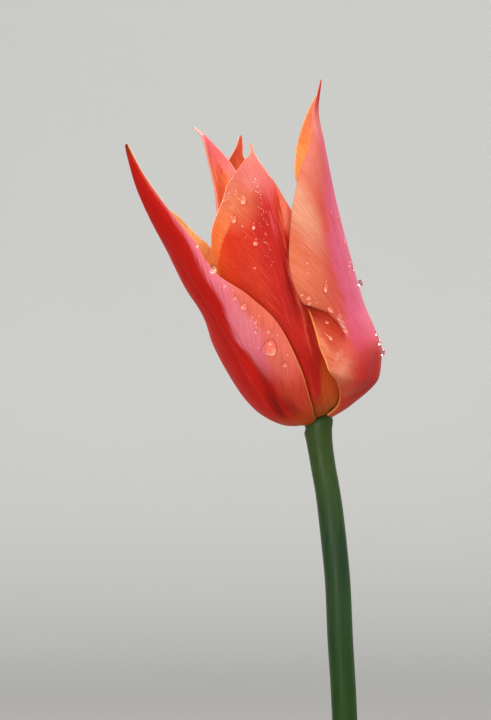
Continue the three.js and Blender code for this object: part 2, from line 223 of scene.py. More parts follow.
def unit(vectors):
    return vectors / np.linalg.norm(vectors, axis=-1, keepdims=True)


def eased(value):
    # 0 to 1 with soft ends
    value = np.clip(value, 0, 1)
    return value * value * (3 - 2 * value)


def softStep(value, width):
    # 1 well below 0, easing to 0 above it
    return 1 / (1 + np.exp(np.clip(value / width, -60, 60)))


def stationRows(stations, rows):
    # the table's columns on a smooth curve, with rows closer together at the root and the tip
    table = np.array(stations, float)
    knots = lengthKnots(table[:, :3])
    places = np.linspace(0, 1, rows + 1)
    places = places - bladeForm["crowding"] * np.sin(2 * math.pi * places) / (2 * math.pi)
    return curveThrough(table, knots / knots[-1], places)


def bladeSheet(blade, rows, columns):
    # points of the middle surface, and for each its distances across, along and from the margin, in mm
    values = stationRows(blade["stations"], rows)
    axis = np.array(blade["axis"], float)
    outward, along = growthFrame(axis, blade["azimuth"])
    midrib = (np.array(blade["root"]) + values[:, [0]] * axis + values[:, [1]] * outward
              + values[:, [2]] * along)
    tangent = unit(np.gradient(midrib, axis=0))
    across = unit(along - (tangent @ along)[:, None] * tangent)
    inward = np.cross(tangent, across)
    points = np.zeros((rows + 1, 2 * columns + 1, 3))
    acrossMm = np.zeros((rows + 1, 2 * columns + 1))
    margin = np.zeros((rows + 1, 2 * columns + 1))
    points[:, columns] = midrib
    for side, widthColumn, rollColumn in ((-1, 3, 5), (1, 4, 6)):
        width = np.maximum(values[:, widthColumn], bladeForm["narrowest"])
        roll = np.radians(values[:, rollColumn])
        flat, rise = np.zeros(rows + 1), np.zeros(rows + 1)
        for k in range(1, columns + 1):
            turn = roll * (k - 0.5) / columns
            flat = flat + np.cos(turn) * width / columns
            rise = rise + np.sin(turn) * width / columns
            points[:, columns + side * k] = midrib + side * flat[:, None] * across + rise[:, None] * inward
            acrossMm[:, columns + side * k] = side * width * k / columns
            margin[:, columns + side * k] = width * (1 - k / columns)
    margin[:, columns] = np.maximum(values[:, 3:5].min(axis=1), bladeForm["narrowest"])
    alongMm = np.repeat(lengthKnots(midrib)[:, None], 2 * columns + 1, axis=1)
    return points, acrossMm, alongMm, margin


def windowShape(place, start, end, fade):
    # 1 between start and end, easing to 0 within fade on both sides
    return eased((place - start) / fade) * eased((end - place) / fade)


def besideLine(line, acrossMm, alongMm):
    # distance from a bent line, positive on its upper side, and a weight that fades out at the line's end
    sizes = [math.hypot(b[0] - a[0], b[1] - a[1]) for a, b in zip(line, line[1:])]
    nearest = np.full_like(acrossMm, 1e9)
    over, run = np.zeros_like(acrossMm), np.zeros_like(acrossMm)
    for k, ((a0, b0), (a1, b1)) in enumerate(zip(line, line[1:])):
        da, db = (a1 - a0) / sizes[k], (b1 - b0) / sizes[k]
        reach = np.clip((acrossMm - a0) * da + (alongMm - b0) * db, 0, sizes[k])
        distance = np.hypot(acrossMm - a0 - reach * da, alongMm - b0 - reach * db)
        side = np.sign((alongMm - b0) * da - (acrossMm - a0) * db)
        closer = distance < nearest - 1e-9
        nearest = np.where(closer, distance, nearest)
        over = np.where(closer, side * distance, over)
        run = np.where(closer, (sum(sizes[:k]) + reach) / sum(sizes), run)
    return over, eased((1 - run) / 0.4)


def relief(blade, acrossMm, alongMm):
    # how far the real blade stands proud of its plain sheet, outwards, in mm
    lift = np.zeros_like(acrossMm)
    length = alongMm.max()
    for fromAcross, toAcross, start, end, width, depth in blade.get("pleats", []):
        share = np.clip((alongMm - start) / (end - start), 0, 1)
        centre = fromAcross + (toAcross - fromAcross) * share
        shown = windowShape(alongMm, start, end, (end - start) * 0.3)
        lift -= depth * np.exp(-((acrossMm - centre) / width) ** 2) * shown
    for centreAcross, centreAlong, sizeAcross, sizeAlong, height in blade.get("puckers", []):
        a, b = (acrossMm - centreAcross) / sizeAcross, (alongMm - centreAlong) / sizeAlong
        lift += height * np.exp(-a ** 2 - b ** 2)
    for line, above, below, reach in blade.get("lips", []):
        over, shown = besideLine(line, acrossMm, alongMm)
        swell = above * np.exp(-(np.maximum(over, 0) / reach) ** 2)
        drop = softStep(over, bladeForm["lipStep"])
        dent = (above + below) * np.exp(-(np.minimum(over, 0) / reach) ** 2) * drop
        lift += (swell * (1 - drop) - dent) * shown
    for number, phase, height in blade.get("waves", []):
        # ripples of the margin, the two sides out of step, none at the root and the tip
        outShare = np.abs(acrossMm) / (np.abs(acrossMm).max(axis=1, keepdims=True) + 1e-6)
        fade = np.sin(math.pi * np.clip((alongMm / length - 0.12) / 0.83, 0, 1))
        turn = 2 * math.pi * number * alongMm / length + phase + np.sign(acrossMm) * bladeForm["sideLag"]
        lift += height * fade * outShare ** 3 * np.sin(turn)
    return lift


def writeUv(mesh, name, first, second):
    layer = mesh.uv_layers.get(name) or mesh.uv_layers.new(name=name)
    corners = np.zeros(len(mesh.loops), int)
    mesh.loops.foreach_get("vertex_index", corners)
    uv = np.stack([first[corners], second[corners]], axis=1)
    layer.data.foreach_set("uv", uv.ravel())


def evenLeftMargin(points, alongMm, columns, passes):
    # the left margin is evened out lengthwise: the outer half of its side, below 30 mm
    toLeft = eased((-np.arange(-columns, columns + 1) / columns - 0.45) / 0.4)
    lowDown = np.clip(alongMm[:, columns] / 5, 0, 1) * np.clip((30 - alongMm[:, columns]) / 8, 0, 1)
    weight = (lowDown[:, None] * toLeft[None])[1:-1, :, None]
    for _ in range(passes):
        points[1:-1] += weight * 0.5 * (points[:-2] + points[2:] - 2 * points[1:-1])


def raiseBlade(name, blade, rows, columns, thickness, rimShare):
    # a flat grid takes the blade's form, gets its wall, and thins towards its margin
    deselectAll()
    bpy.ops.mesh.primitive_grid_add(x_subdivisions=2 * columns, y_subdivisions=rows, size=2)
    piece = bpy.context.object
    piece.name = name
    mesh = piece.data
    points, acrossMm, alongMm, margin = bladeSheet(blade, rows, columns)
    evenLeftMargin(points, alongMm, columns, blade.get("marginPasses", 0))
    crosswise = unit(np.gradient(points, axis=1))
    normals = unit(np.cross(np.gradient(points, axis=1), np.gradient(points, axis=0)) + 1e-12)
    points = points + normals * relief(blade, acrossMm, alongMm)[..., None]
    for line, _, _, reach in blade.get("lips", []):
        over, shown = besideLine(line, acrossMm, alongMm)
        drawn = np.exp(-(np.minimum(over, 0) / (reach * 1.3)) ** 2) * softStep(over, 0.4) * shown
        points = points + crosswise * (bladeForm["lipDraw"] * drawn)[..., None]
    flat = np.zeros(len(mesh.vertices) * 3)
    mesh.vertices.foreach_get("co", flat)
    flat = flat.reshape(-1, 3)
    row = np.rint((flat[:, 1] + 1) / 2 * rows).astype(int)
    column = np.rint((flat[:, 0] + 1) * columns).astype(int)
    mesh.vertices.foreach_set("co", (points[row, column] * mm).ravel())
    a, b, m = acrossMm[row, column], alongMm[row, column], margin[row, column]
    # veins leave the midrib at a narrow angle and bend out to the margin
    veinPlace = b - blade["veinReach"] * np.log(1 + np.abs(a) / blade["veinStart"])
    mesh.uv_layers[0].name = "place"
    writeUv(mesh, "place", 0.5 + a / 100, b / 100)
    writeUv(mesh, "veins", veinPlace / 100, m / 100)
    # distances from the lines where the pigment changes, and the painted shade under a lip
    borders = [(a - np.interp(b, *zip(*line))) / 100 for line in blade.get("borders", [])]
    for line, *_ in blade.get("lips", []):
        over, shown = besideLine(line, a, b)
        borders.append(np.exp(-(over / np.where(over < 0, *bladeForm["lipShade"])) ** 2) * shown)
    if borders:
        writeUv(mesh, "border", borders[0], borders[-1])
    group = piece.vertex_groups.new(name="flesh")
    for index, weight in enumerate(np.clip(m / bladeForm["thinRim"], 0, 1) ** 0.7):
        group.add([index], float(weight), "REPLACE")
    wall = piece.modifiers.new("wall", "SOLIDIFY")
    wall.thickness = thickness * mm
    wall.offset = 0
    wall.vertex_group = "flesh"
    wall.thickness_vertex_group = rimShare
    wall.material_offset = 1
    wall.material_offset_rim = 2
    wall.use_even_offset = False
    for material in blade["materials"]:
        mesh.materials.append(material)
    applyModifiers(piece)
    bpy.ops.object.shade_smooth()
    return piece


def petalTissue(name, look):
    # fresh tulip petal: satin wax over coloured flesh that lets some light through
    material, tree = newMaterial(name)
    placeUv, across, along = uvMap(tree, "place")
    veinsUv, veinPlace, margin = uvMap(tree, "veins")
    borderAndLipShadePlaces = uvMap(tree, "border")[1:]

    def streaks(wide, long):
        # uneven pigment drawn out along the veins, its patches' sizes in mm
        ways = enumerate(((veinPlace, wide), (along, long), (across, long)))
        links = {k: calculate(tree, "MULTIPLY", source, 100 / size) for k, (source, size) in ways}
        return noise(tree, addNode(tree, "CombineXYZ", links=links), 1.0, 3.0, 0.6)

    # pigment grain: lengthwise beside the midrib, along the side veins further out
    grain = mixColour(tree, smoothMm(tree, fromMiddle(tree, across), 1.5, 6),
                      noise(tree, placeUv, (125, 7, 1), 3.0, 0.6), streaks(1.15, 7.0))
    fine = streaks(0.6, 3.5)
    mottle = noise(tree, placeUv, 170.0, 2.0)
    # the grain makes every edge of a colour ragged, by up to 0.6 mm
    ragged = addNode(tree, "MapRange", {"From Min": 0.3, "From Max": 0.7, "To Min": -0.006, "To Max": 0.006},
                     {"Value": grain})

    def frayed(value, share):
        return calculate(tree, "ADD", value, calculate(tree, "MULTIPLY", ragged, share))

    def between(low, lowFull, highFull, high):
        return calculate(tree, "MULTIPLY", smoothMm(tree, along, low, lowFull),
                         smoothMm(tree, along, high, highFull))

    colourNow = mixColour(tree, smoothStep(tree, grain, 0.35, 0.65), look["body"], look["bodyTwo"])

    def paint(factor, code, strength=1.0, blend="MIX"):
        nonlocal colourNow
        colourNow = mixColour(tree, factor, colourNow, code, strength, blend)

    flushAt = frayed(fromMiddle(tree, across, look["flushPlace"] / 100), 1.5)
    widths = {"From Min": 0.12, "From Max": 0.85, "To Min": look["flushLow"] / 100,
              "To Max": look["flushHigh"] / 100}
    flushAt = calculate(tree, "DIVIDE", flushAt, addNode(tree, "MapRange", widths, {"Value": along}))
    paint(smoothStep(tree, flushAt, 1.0, look["flushSoft"]), look["flush"], look["flushStrength"])
    paint(smoothMm(tree, frayed(margin, 1.5), look["marginWidth"], look["marginWidth"] / 10), look["margin"],
          look["marginStrength"])
    paint(smoothStep(tree, grain, 0.5, 0.7), look["stroke"], look["strokeStrength"])
    for channel, start, end, share, code, strength, reach in look["regions"]:
        edge = smoothMm(tree, frayed(borderAndLipShadePlaces[channel], share), start, end)
        paint(calculate(tree, "MULTIPLY", edge, between(*reach)), code, strength)
    for spotAcross, spotAlong, sizeAcross, sizeAlong, turn, code, strength, hardness in look["spots"]:
        point = addNode(tree, "CombineXYZ", links={0: frayed(across, 1.5) if hardness < 0.7 else across,
                                                   1: along})
        placed = {"vector_type": "TEXTURE", "Location": (0.5 + spotAcross / 100, spotAlong / 100, 0),
                  "Rotation": (0, 0, math.radians(turn)), "Scale": (sizeAcross / 100, sizeAlong / 100, 1)}
        mapped = addNode(tree, "Mapping", placed, {"Vector": point})
        ball = addNode(tree, "TexGradient", {"gradient_type": "SPHERICAL"}, {"Vector": mapped})
        paint(smoothStep(tree, ball.outputs[1], 0.0, max(1 - hardness, 0.02)), code, strength)
    paint(smoothMm(tree, along, look["tipStart"], look["tipEnd"]), look["tip"])
    paint(smoothMm(tree, along, look["baseEnd"], look["baseStart"]), look["base"])
    # the veins show darker, here strong and there faint
    broken = calculate(tree, "MULTIPLY", veinLines(tree, veinsUv, look["veinSpacing"], 1.6, 0.35),
                       smoothStep(tree, noise(tree, placeUv, 14.0, 3.0), 0.3, 0.62, 0.25, 1.0))
    paint(broken, look["vein"], look["veinStrength"], "MULTIPLY")
    paint(smoothStep(tree, fine, 0.35, 0.7), look["vein"], 0.22, "MULTIPLY")
    paint(smoothStep(tree, grain, 0.52, 0.3), look["vein"], look["grainStrength"], "MULTIPLY")
    paint(smoothStep(tree, mottle, 0.3, 0.75), look["stroke"], 0.05)
    rim = calculate(tree, "MULTIPLY", smoothMm(tree, margin, look["rimWidth"], look["rimWidth"] / 6),
                    between(*look["rimReach"]))
    paint(rim, look["rim"], look["rimStrength"])
    bump = bumpFrom(tree, calculate(tree, "MULTIPLY_ADD", fine, 0.6, broken), look["relief"], 0.14)
    rough = smoothStep(tree, fine, 0.2, 0.8, look["roughness"] - 0.06, look["roughness"] + 0.08)
    skin = addNode(tree, "BsdfPrincipled", {
        "IOR": 1.42, "Specular IOR Level": 0.13, "Sheen Weight": look["sheen"], "Sheen Roughness": 0.4,
        "Sheen Tint": "#ffb8c0"}, {"Base Color": colourNow, "Roughness": rough, "Normal": bump})
    # light that comes through the flesh is warmer than its skin
    warm = mixColour(tree, grain, colourNow, "#ffb46a", look["warmth"], "SCREEN")
    through = addNode(tree, "BsdfTranslucent", links={"Color": warm, "Normal": bump})
    finishMaterial(tree, addNode(tree, "MixShader", {0: look["glow"]}, {1: skin, 2: through}))
    return material


def makeLook(**changes):
    # what all petals share, with places and widths in mm; each petal then changes what differs
    # region: border, from and to beside it, raggedness, colour, strength, where it starts and ends along
    # spot: centre across and along, half width and length, turn, colour, strength, hardness
    look = {
        "body": "#d8361f", "bodyTwo": "#dc4128", "stroke": "#f08a78", "strokeStrength": 0.1,
        "flush": "#dd4654", "flushPlace": 0, "flushLow": 9, "flushHigh": 5, "flushSoft": 0.35,
        "flushStrength": 0.8,
        "margin": "#ee8c48", "marginWidth": 4.0, "marginStrength": 0.8,
        "tip": "#ef8f80", "tipStart": 66, "tipEnd": 80, "base": "#cf9a40", "baseStart": 2, "baseEnd": 12,
        "rim": "#f3a860", "rimWidth": 0.5, "rimStrength": 0.6, "rimReach": (-9, -8, 190, 200),
        "vein": "#cf4a32", "veinStrength": 0.3, "veinSpacing": 1.0, "grainStrength": 0.25, "relief": 0.24,
        "roughness": 0.45, "glow": 0.22, "warmth": 0.15, "sheen": 0.02, "regions": [], "spots": []}
    look.update(changes)
    return look


# station: height up the axis, reach out from it, shift sideways, half widths left and right, and how far
# the two halves roll in, in mm and degrees
# pleat: from and to across, from and to along, width, depth; pucker: centre across and along, sizes, height
# lip: line of points across and along, rise above it, fall below it, reach; wave: number, phase, height
# border: line of points along and across, where the pigment changes
outerRoot = [(0, 4, 0, 3.5, 3.5, 25, 25), (1.3, 8.8, 0, 7.8, 7.8, 40, 40)]
innerRoot = [(1, 3, 0, 2.6, 2.6, 25, 25), (3, 7.5, 0, 6.3, 6.3, 38, 38), (8, 12.3, 0, 10, 10, 52, 52),
             (17, 15.5, 0, 13, 13, 59, 59)]
insideLook = makeLook(
    body="#f6953e", bodyTwo="#f6a050", flush="#ea6a34", flushLow=7, flushHigh=3, flushStrength=0.6,
    margin="#f9ac56", tip="#f07c58", base="#e6c24e", baseStart=6, baseEnd=20, rim="#fcc878", vein="#e07840",
    glow=0.14, warmth=0.3, sheen=0.03, roughness=0.48)
petals = {
    "petal_outer_left": {
        "azimuth": -47, "grid": (220, 52), "veinReach": 40, "veinStart": 8,
        "stations": outerRoot + [
            (5.5, 13.5, 0, 12, 11, 50, 50), (13, 17.1, 0, 15, 13.2, 55, 52),
            (25, 20.3, 0, 16.5, 13.4, 60, 48), (33, 22.6, 0, 18.6, 10.3, 100, 45),
            (40, 25.4, 0, 23.4, 6.6, 130, 40), (45.5, 27.2, 0, 21.1, 5.7, 136.5, 35),
            (50, 28.6, 0, 17.2, 5.6, 133, 35), (58, 31.8, 0, 10.1, 4.7, 138, 30),
            (68, 34, 0, 3.2, 2.8, 85, 20), (77.3, 33.9, 0, 0.4, 0.4, 0, 0)],
        "pleats": [
            (3.6, 2.6, 6, 32, 2.2, 0.9), (0.3, 0.3, 6, 70, 0.45, -0.2), (-1.6, -1.2, 6, 60, 0.8, 0.16)],
        "puckers": [(9.5, 26, 5, 10, 0.6)], "waves": [(3.2, 0.4, 0.25)],
        "borders": [
            [
                (6, 4.2), (11, 5.8), (17.7, 5.2), (21, 4.0), (26, 3.2), (27.7, 3.2), (31.7, 1.8), (37.4, 2.3),
                (41.4, 3.6), (45, 3.7), (48.7, 3.6), (55.4, 4.1), (60.7, 4.3), (68, 4.4), (72, 3.7),
                (78, 2.6)],
            [(20, 7.0), (29.4, 7.5), (31.7, 8.3), (35, 8.2), (38, 7.0), (42.4, 6.4), (45.7, 6.2), (60, 9)]],
        "outside": makeLook(
            body="#d81e14", bodyTwo="#cc1a12", flush="#c41812", flushLow=6, flushHigh=4, flushStrength=0.5,
            margin="#ee8448", marginWidth=0.8, marginStrength=0.4, tip="#96381e", tipStart=82, tipEnd=86,
            base="#c8561e", baseStart=1, baseEnd=11, rim="#f0a050", rimWidth=0.4, rimReach=(-9, -8, 24, 34),
            vein="#b02a18", veinStrength=0.1, veinSpacing=1.2, stroke="#d83c28", relief=0.14,
            regions=[
                (0, -1.6, 2.4, 1.5, "#d04834", 0.9, (2, 8, 36, 46)),
                # these two pink bands are partly the petal's own pink flush and partly painted sheen where
                # its wax catches the light
                (0, -0.7, 1.0, 0.8, "#f88498", 0.96, (16, 30, 74, 84)),
                (0, 1.2, 3.0, 1.5, "#f4949c", 0.5, (26, 34, 60, 72)),
                (1, -0.6, 1.8, 0.9, "#ea7660", 0.9, (12, 24, 42, 47))],
            spots=[
                # painted shade: the first two spots darken the furrow beside the midrib, where shade falls
                (2.4, 16, 2.4, 12, -14, "#8c1610", 0.5, 0.1), (1.6, 12, 1.7, 7, -12, "#6e1a0a", 0.75, 0.1),
                (0.2, 24, 0.22, 14, 0, "#e04a34", 0.6, 0.2), (10.5, 36, 3.4, 8, 16, "#e26a3c", 0.4, 0.2),
                # painted shade: the last spot below darkens the same furrow where it meets the base
                (7, 14, 4, 8, 0, "#c4452e", 0.6, 0.1), (4.6, 9, 3, 8, 0, "#84160c", 0.6, 0.1)]),
        "inside": dict(
            insideLook, body="#ffd898", bodyTwo="#ffdea4", flush="#ffd090", flushStrength=0.2,
            margin="#ffe0a0", veinStrength=0.12, glow=0.02)},
    "petal_outer_right": {
        "azimuth": 70, "grid": (300, 60), "veinReach": 42, "veinStart": 9,
        "stations": [
            outerRoot[0], (1.3, 8.8, 0, 4.6, 7.8, 40, 40), (5, 17.2, 0, 19.1, 13, 48, 50),
            (9, 19.5, 0, 19.5, 14.8, 51, 53), (13, 20.7, 0, 19.9, 16, 54, 55),
            (18, 20.2, 0, 19.7, 16.6, 56.5, 57.5), (24, 19.5, 0, 18.95, 17, 58, 60),
            (36, 19.7, 0, 20.8, 17, 56, 60), (48, 20.3, 0, 16, 16, 58, 64), (58, 21.5, 0, 10.2, 15, 60, 115),
            (66, 22.5, 0, 4.2, 11.3, 60, 120), (73, 23.5, 0, 1.6, 4.4, 40, 115),
            (80, 26.8, 0, 0.3, 0.3, 0, 0)],
        "marginPasses": 110,
        "pleats": [
            (-4, -4.5, 30, 80, 0.7, 0.16), (-7.5, -7, 24, 60, 0.7, 0.14), (0, 0, 8, 80, 0.6, 0.12),
            (-6, -3, 4, 26, 1.6, 0.4), (3, 4.5, 4, 30, 2.2, 0.5)],
        "puckers": [(-15.5, 42, 5, 5, 0.5)],
        "lips": [
            (
                [
                    (-22, 39.2), (-19.2, 38.0), (-17.4, 37.0), (-14.3, 35.0), (-12.7, 32.7), (-11.8, 30.6),
                    (-12.4, 27.6), (-13.4, 24.6)],
                0.3, 0.4, 4.2)],
        "waves": [(3.4, 1.0, 0.3)],
        "borders": [
            [
                (4, -3), (6.7, -6), (16.5, -12.8), (24.7, -12.9), (29.2, -12.0), (36.6, -9.5), (45, -9.8),
                (52, -9.0), (55.2, -6.4), (62.9, -5.6), (75.1, -3.0), (84, -1.4)]],
        "outside": makeLook(
            body="#d4644c", bodyTwo="#dc745e", flush="#d65444", flushPlace=-2, flushLow=14, flushHigh=4,
            flushSoft=0.4, flushStrength=0.7, margin="#dc7850", marginWidth=9, tip="#d4464c", tipStart=79,
            tipEnd=88, base="#d85024", baseStart=0, baseEnd=5, rim="#f2a850", rimStrength=0.7,
            rimReach=(-9, -8, 35, 38), vein="#cc4c34", veinStrength=0.36, veinSpacing=0.64, stroke="#f0a48e",
            strokeStrength=0.24, relief=0.14, grainStrength=0.12,
            regions=[
                (0, -4.2, 0.5, 3.5, "#da5c50", 0.85, (14, 28, 80, 90)),
                # these two pink bands are partly the petal's own pink flush and partly painted sheen along
                # the side that curves away
                (0, -0.8, 3.6, 3.0, "#dc668c", 0.92, (17, 30, 78, 88)),
                (0, 6, 11, 2.0, "#e07298", 0.7, (24, 34, 70, 84)),
                (0, -1.0, 3.0, 3.0, "#c82a2e", 0.95, (-6, -4, 14, 34)),
                # painted shadow: a deep red band in the shade under the lip, fading downwards
                (1, 5, 75, 1.0, "#981404", 1.0, (20, 25, 45, 48))],
            spots=[
                # painted shade: the second spot below darkens the hollow under the lip
                (-12.5, 61, 6, 17, 6, "#e8b290", 0.8, 0.1), (-15.5, 31, 6.5, 8, 0, "#c43c1e", 0.85, 0.05),
                # painted highlight: the thin pale second spot below lights the end of the lip's edge
                (-18.5, 29, 1.6, 6, 10, "#f09a70", 0.6, 0.1), (-11.2, 31.5, 0.35, 5, 2, "#fac8b8", 0.7, 0.2),
                (-16, 18, 3.6, 7, -20, "#f49c7e", 0.75, 0.1),
                (-10.5, 11.5, 4.2, 6.5, 0, "#e4442c", 0.75, 0.1), (-15.5, 45, 6, 7, 0, "#df7f5a", 0.6, 0.1),
                (-6, 73, 6, 14, 0, "#e48c7c", 0.75, 0.2), (-1.6, 82, 2.2, 9, 0, "#f0a294", 0.85, 0.1),
                (-4, 5, 12, 9, 0, "#d4341c", 0.85, 0.1), (-16.6, 23, 1.0, 4.5, -32, "#f2ae92", 0.5, 0.05),
                (-15.2, 18, 0.9, 4, -34, "#f2ae92", 0.5, 0.05)]),
        "inside": dict(
            insideLook, body="#fbb062", bodyTwo="#fbb870", flush="#f6a860", flushStrength=0.4, tip="#f09070",
            tipStart=76, tipEnd=84, margin="#fbbc70", rim="#fde090", glow=0.08)},
    "petal_outer_back": {
        "azimuth": 193, "grid": (200, 44),
        "stations": outerRoot + [
            (6, 16, 0, 13, 13, 50, 50), (14, 20, 0, 16, 16, 55, 55), (26, 20.8, 0, 16, 17, 58, 60),
            (38, 18.4, 0, 12.5, 15.5, 52, 60), (50, 14.2, 0, 7.6, 12, 45, 60),
            (60, 11.6, -1.5, 5.6, 8, 40, 50), (66.5, 10.2, -2.5, 3.4, 5.7, 40, 40),
            (69.8, 9.3, -3.2, 1, 2.8, 40, 40), (72.2, 8.6, -3.9, 0.8, 1, 40, 40),
            (74.6, 8, -4.8, 0.3, 0.3, 0, 0)],
        "pleats": [(0, 0, 8, 78, 0.6, 0.14), (3.2, 2, 20, 80, 0.5, 0.2), (-3, -2, 20, 78, 0.5, 0.2)],
        "waves": [(3.1, 2.0, 0.35)], "outside": makeLook(),
        "inside": dict(
            insideLook, body="#da7c46", bodyTwo="#de8450", flush="#cc5834", tip="#c4553c", tipStart=76,
            tipEnd=82, margin="#cc7240", rim="#e08468", rimWidth=0.3, rimStrength=0.4,
            spots=[
                (1.8, 78, 0.34, 9, 3, "#b43418", 0.8, 0.08), (3.2, 77, 0.34, 8, 5, "#b43418", 0.8, 0.08),
                (-0.8, 79, 0.34, 7, -3, "#b43418", 0.75, 0.08)])},
    "petal_inner_front": {
        "azimuth": 11, "grid": (220, 72), "veinReach": 26, "veinStart": 6.7,
        "stations": [
            (1, 3, 0, 2.6, 5.8, 25, 18), (3, 7.5, 0, 6.3, 10.8, 38, 30), (8, 12.3, 0, 10, 12.7, 52, 50),
            (17, 15.5, 0, 13, 13.4, 59, 62), (28, 16.9, 0, 15.8, 15, 56, 75), (40, 17.2, 0, 17.4, 14, 47, 95),
            (50, 16.6, 0.6, 16.5, 12, 45, 110), (58, 15.6, 1.2, 12.1, 6.4, 50, 110),
            (63, 14.4, 1.2, 8.8, 2.6, 50, 90), (65.6, 13.7, 1.1, 3.6, 1.0, 30, 50),
            (67.2, 13.3, 1.2, 0.75, 0.45, 10, 10), (69.7, 13, 1.5, 0.25, 0.25, 0, 0)],
        "pleats": [
            (-1.2, 0.35, 8, 67, 0.36, 0.14), (0.0, 0.9, 8, 67, 0.32, -0.12), (0.8, 1.6, 10, 65, 0.3, 0.1),
            (1.7, 2.3, 16, 66, 0.36, 0.14), (-3.2, -1.6, 16, 60, 0.6, 0.1), (-6, -3.8, 6, 40, 1.6, 0.2)],
        "puckers": [(-13.5, 52, 5, 9, 0.5)], "waves": [(2.7, 0.2, 0.3)],
        "borders": [
            [(40, -17.5), (45, -16.6), (48.1, -16), (53.2, -13), (55.8, -10.6), (60, -8.5), (66, -6)]],
        "outside": makeLook(
            body="#d83c1c", bodyTwo="#d2341a", flush="#c4201c", flushPlace=-1.5, flushLow=7,
            flushStrength=0.85, margin="#e2602c", marginWidth=6, tip="#f09488", tipStart=60, tipEnd=73,
            base="#c06420", baseStart=1, rim="#f4b088", vein="#bc4020", veinStrength=0.42, veinSpacing=0.62,
            relief=0.2, grainStrength=0.16, stroke="#f0684a", strokeStrength=0.24,
            regions=[(0, 0.3, -0.5, 0.6, "#ee8c50", 0.92, (42, 46, 90, 95))],
            spots=[
                (-8.3, 62, 8.2, 10, 0, "#e48a62", 0.92, 0.1), (-2.6, 67, 3.6, 6, 0, "#f4aa9e", 0.75, 0.1),
                (0.5, 66, 5, 9, 0, "#ea8280", 0.7, 0.1), (0, 57, 0.6, 9, -4, "#f0707c", 0.6, 0.1),
                (3.0, 57.5, 1.1, 8, -6, "#ee8668", 0.9, 0.3), (5.2, 57, 3.0, 11, -4, "#f0927a", 0.95, 0.4),
                # painted shade: the three dark red lines darken the shallow grooves beside the midrib;
                # painted highlight: the two bright lines after them light the ridges between
                (-0.35, 41.5, 0.42, 27, -1.7, "#9c180c", 0.6, 0.1),
                (1.2, 40, 0.32, 23, -0.9, "#a01c0c", 0.55, 0.1),
                (2.0, 43, 0.42, 22, -0.7, "#9c180c", 0.6, 0.1), (0.5, 40, 0.4, 27, -1.0, "#f46e50", 0.8, 0.1),
                (1.6, 44, 0.3, 20, -0.8, "#ee6848", 0.7, 0.1), (5.0, 8, 5.4, 15, 0, "#dc6428", 0.85, 0.75)])},
    "petal_inner_left": {
        "azimuth": 253,
        "stations": innerRoot + [
            (28, 16.2, 0, 15, 15, 62, 62), (40, 13.6, 0, 15, 14, 72, 60), (50, 10.4, 0, 13, 10, 78, 40),
            (60, 7.8, 0, 10, 4.8, 85, 25), (70, 7, 0, 5.6, 2.8, 85, 25), (76.5, 7, 0, 1.6, 1, 40, 20),
            (79.4, 8.4, 0, 0.3, 0.3, 0, 0)],
        "pleats": [
            (0, 0, 8, 78, 0.6, 0.14), (2.4, 1.6, 30, 76, 0.6, 0.16), (-4.8, -1.9, 64, 80, 0.5, -0.35),
            (-1.6, -2.2, 56, 78, 0.5, -0.25)],
        "waves": [(3.6, 2.6, 0.3)],
        "outside": makeLook(
            body="#ee7874", bodyTwo="#ea6a66", flush="#ea6a66", margin="#f28a84", marginWidth=5,
            rim="#f8b0a8"),
        "inside": dict(
            insideLook, margin="#f4a4a2", marginWidth=4.2, marginStrength=0.95, flush="#e2643e",
            flushStrength=0.4, body="#ee8c54", bodyTwo="#e87a44", tip="#e27478", tipStart=70, tipEnd=78,
            rim="#ee9c98",
            spots=[
                (1.6, 74, 1.2, 13, 0, "#f498a0", 0.9, 0.3), (-0.9, 74, 1.3, 8, 2, "#f4a868", 0.9, 0.2),
                (-3.0, 67, 1.6, 7, -8, "#cc4a2c", 0.5, 0.1),
                (-3.3, 74.2, 0.6, 5.4, -17, "#b83420", 0.85, 0.06),
                (-1.9, 70.5, 0.55, 6.5, 4, "#c03c24", 0.75, 0.06)])},
    "petal_inner_back": {
        "azimuth": 133,
        "stations": innerRoot + [
            (28, 15.9, 0, 14, 13, 62, 62), (38, 15.5, 0, 10.5, 10, 60, 60), (46, 16.5, 0, 6, 5.6, 60, 60),
            (54, 19.2, 0, 4, 3.2, 60, 60), (62, 23, 0, 3, 2.4, 60, 60), (69, 26.6, 0, 1.8, 1.6, 50, 50),
            (73.5, 29.3, 0, 0.3, 0.3, 0, 0)],
        "pleats": [(0, 0, 8, 74, 0.6, 0.14), (2.4, 1.2, 20, 70, 0.7, 0.14), (-2.4, -1.2, 20, 70, 0.7, 0.14)],
        "waves": [(3.3, 3.4, 0.3)], "outside": makeLook()}}

rimMaterial = petalTissue("petal margin, thin pale flesh",
                          makeLook(body="#f09a5c", bodyTwo="#f2a468", flushStrength=0.01, tip="#f09a84",
                                   base="#d8a050"))
for name, petal in petals.items():
    petal.update(root=bloomRoot, axis=bloomAxis, veinReach=petal.get("veinReach", 30),
                 veinStart=petal.get("veinStart", 7))
    petal["materials"] = [petalTissue(name + " outer face", petal["outside"]),
                          petalTissue(name + " inner face", petal.get("inside", insideLook)), rimMaterial]
    rows, columns = petal.get("grid", (200, 40))
    piece = raiseBlade(name + "_flesh", petal, rows, columns, thickness=0.62, rimShare=0.35)
    petal["piece"] = piece
    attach(piece, "root")
    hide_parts(name)
print("petals raised")


# leaves: long, folded and waxy, clasping the stem
leafLook = {"blade": "#3d6838", "bladeTwo": "#4a7644", "wax": "#7f9f84", "midrib": "#6f965c",
            "rim": "#a3b27c", "base": "#8fae62", "veinShade": "#7fa070"}


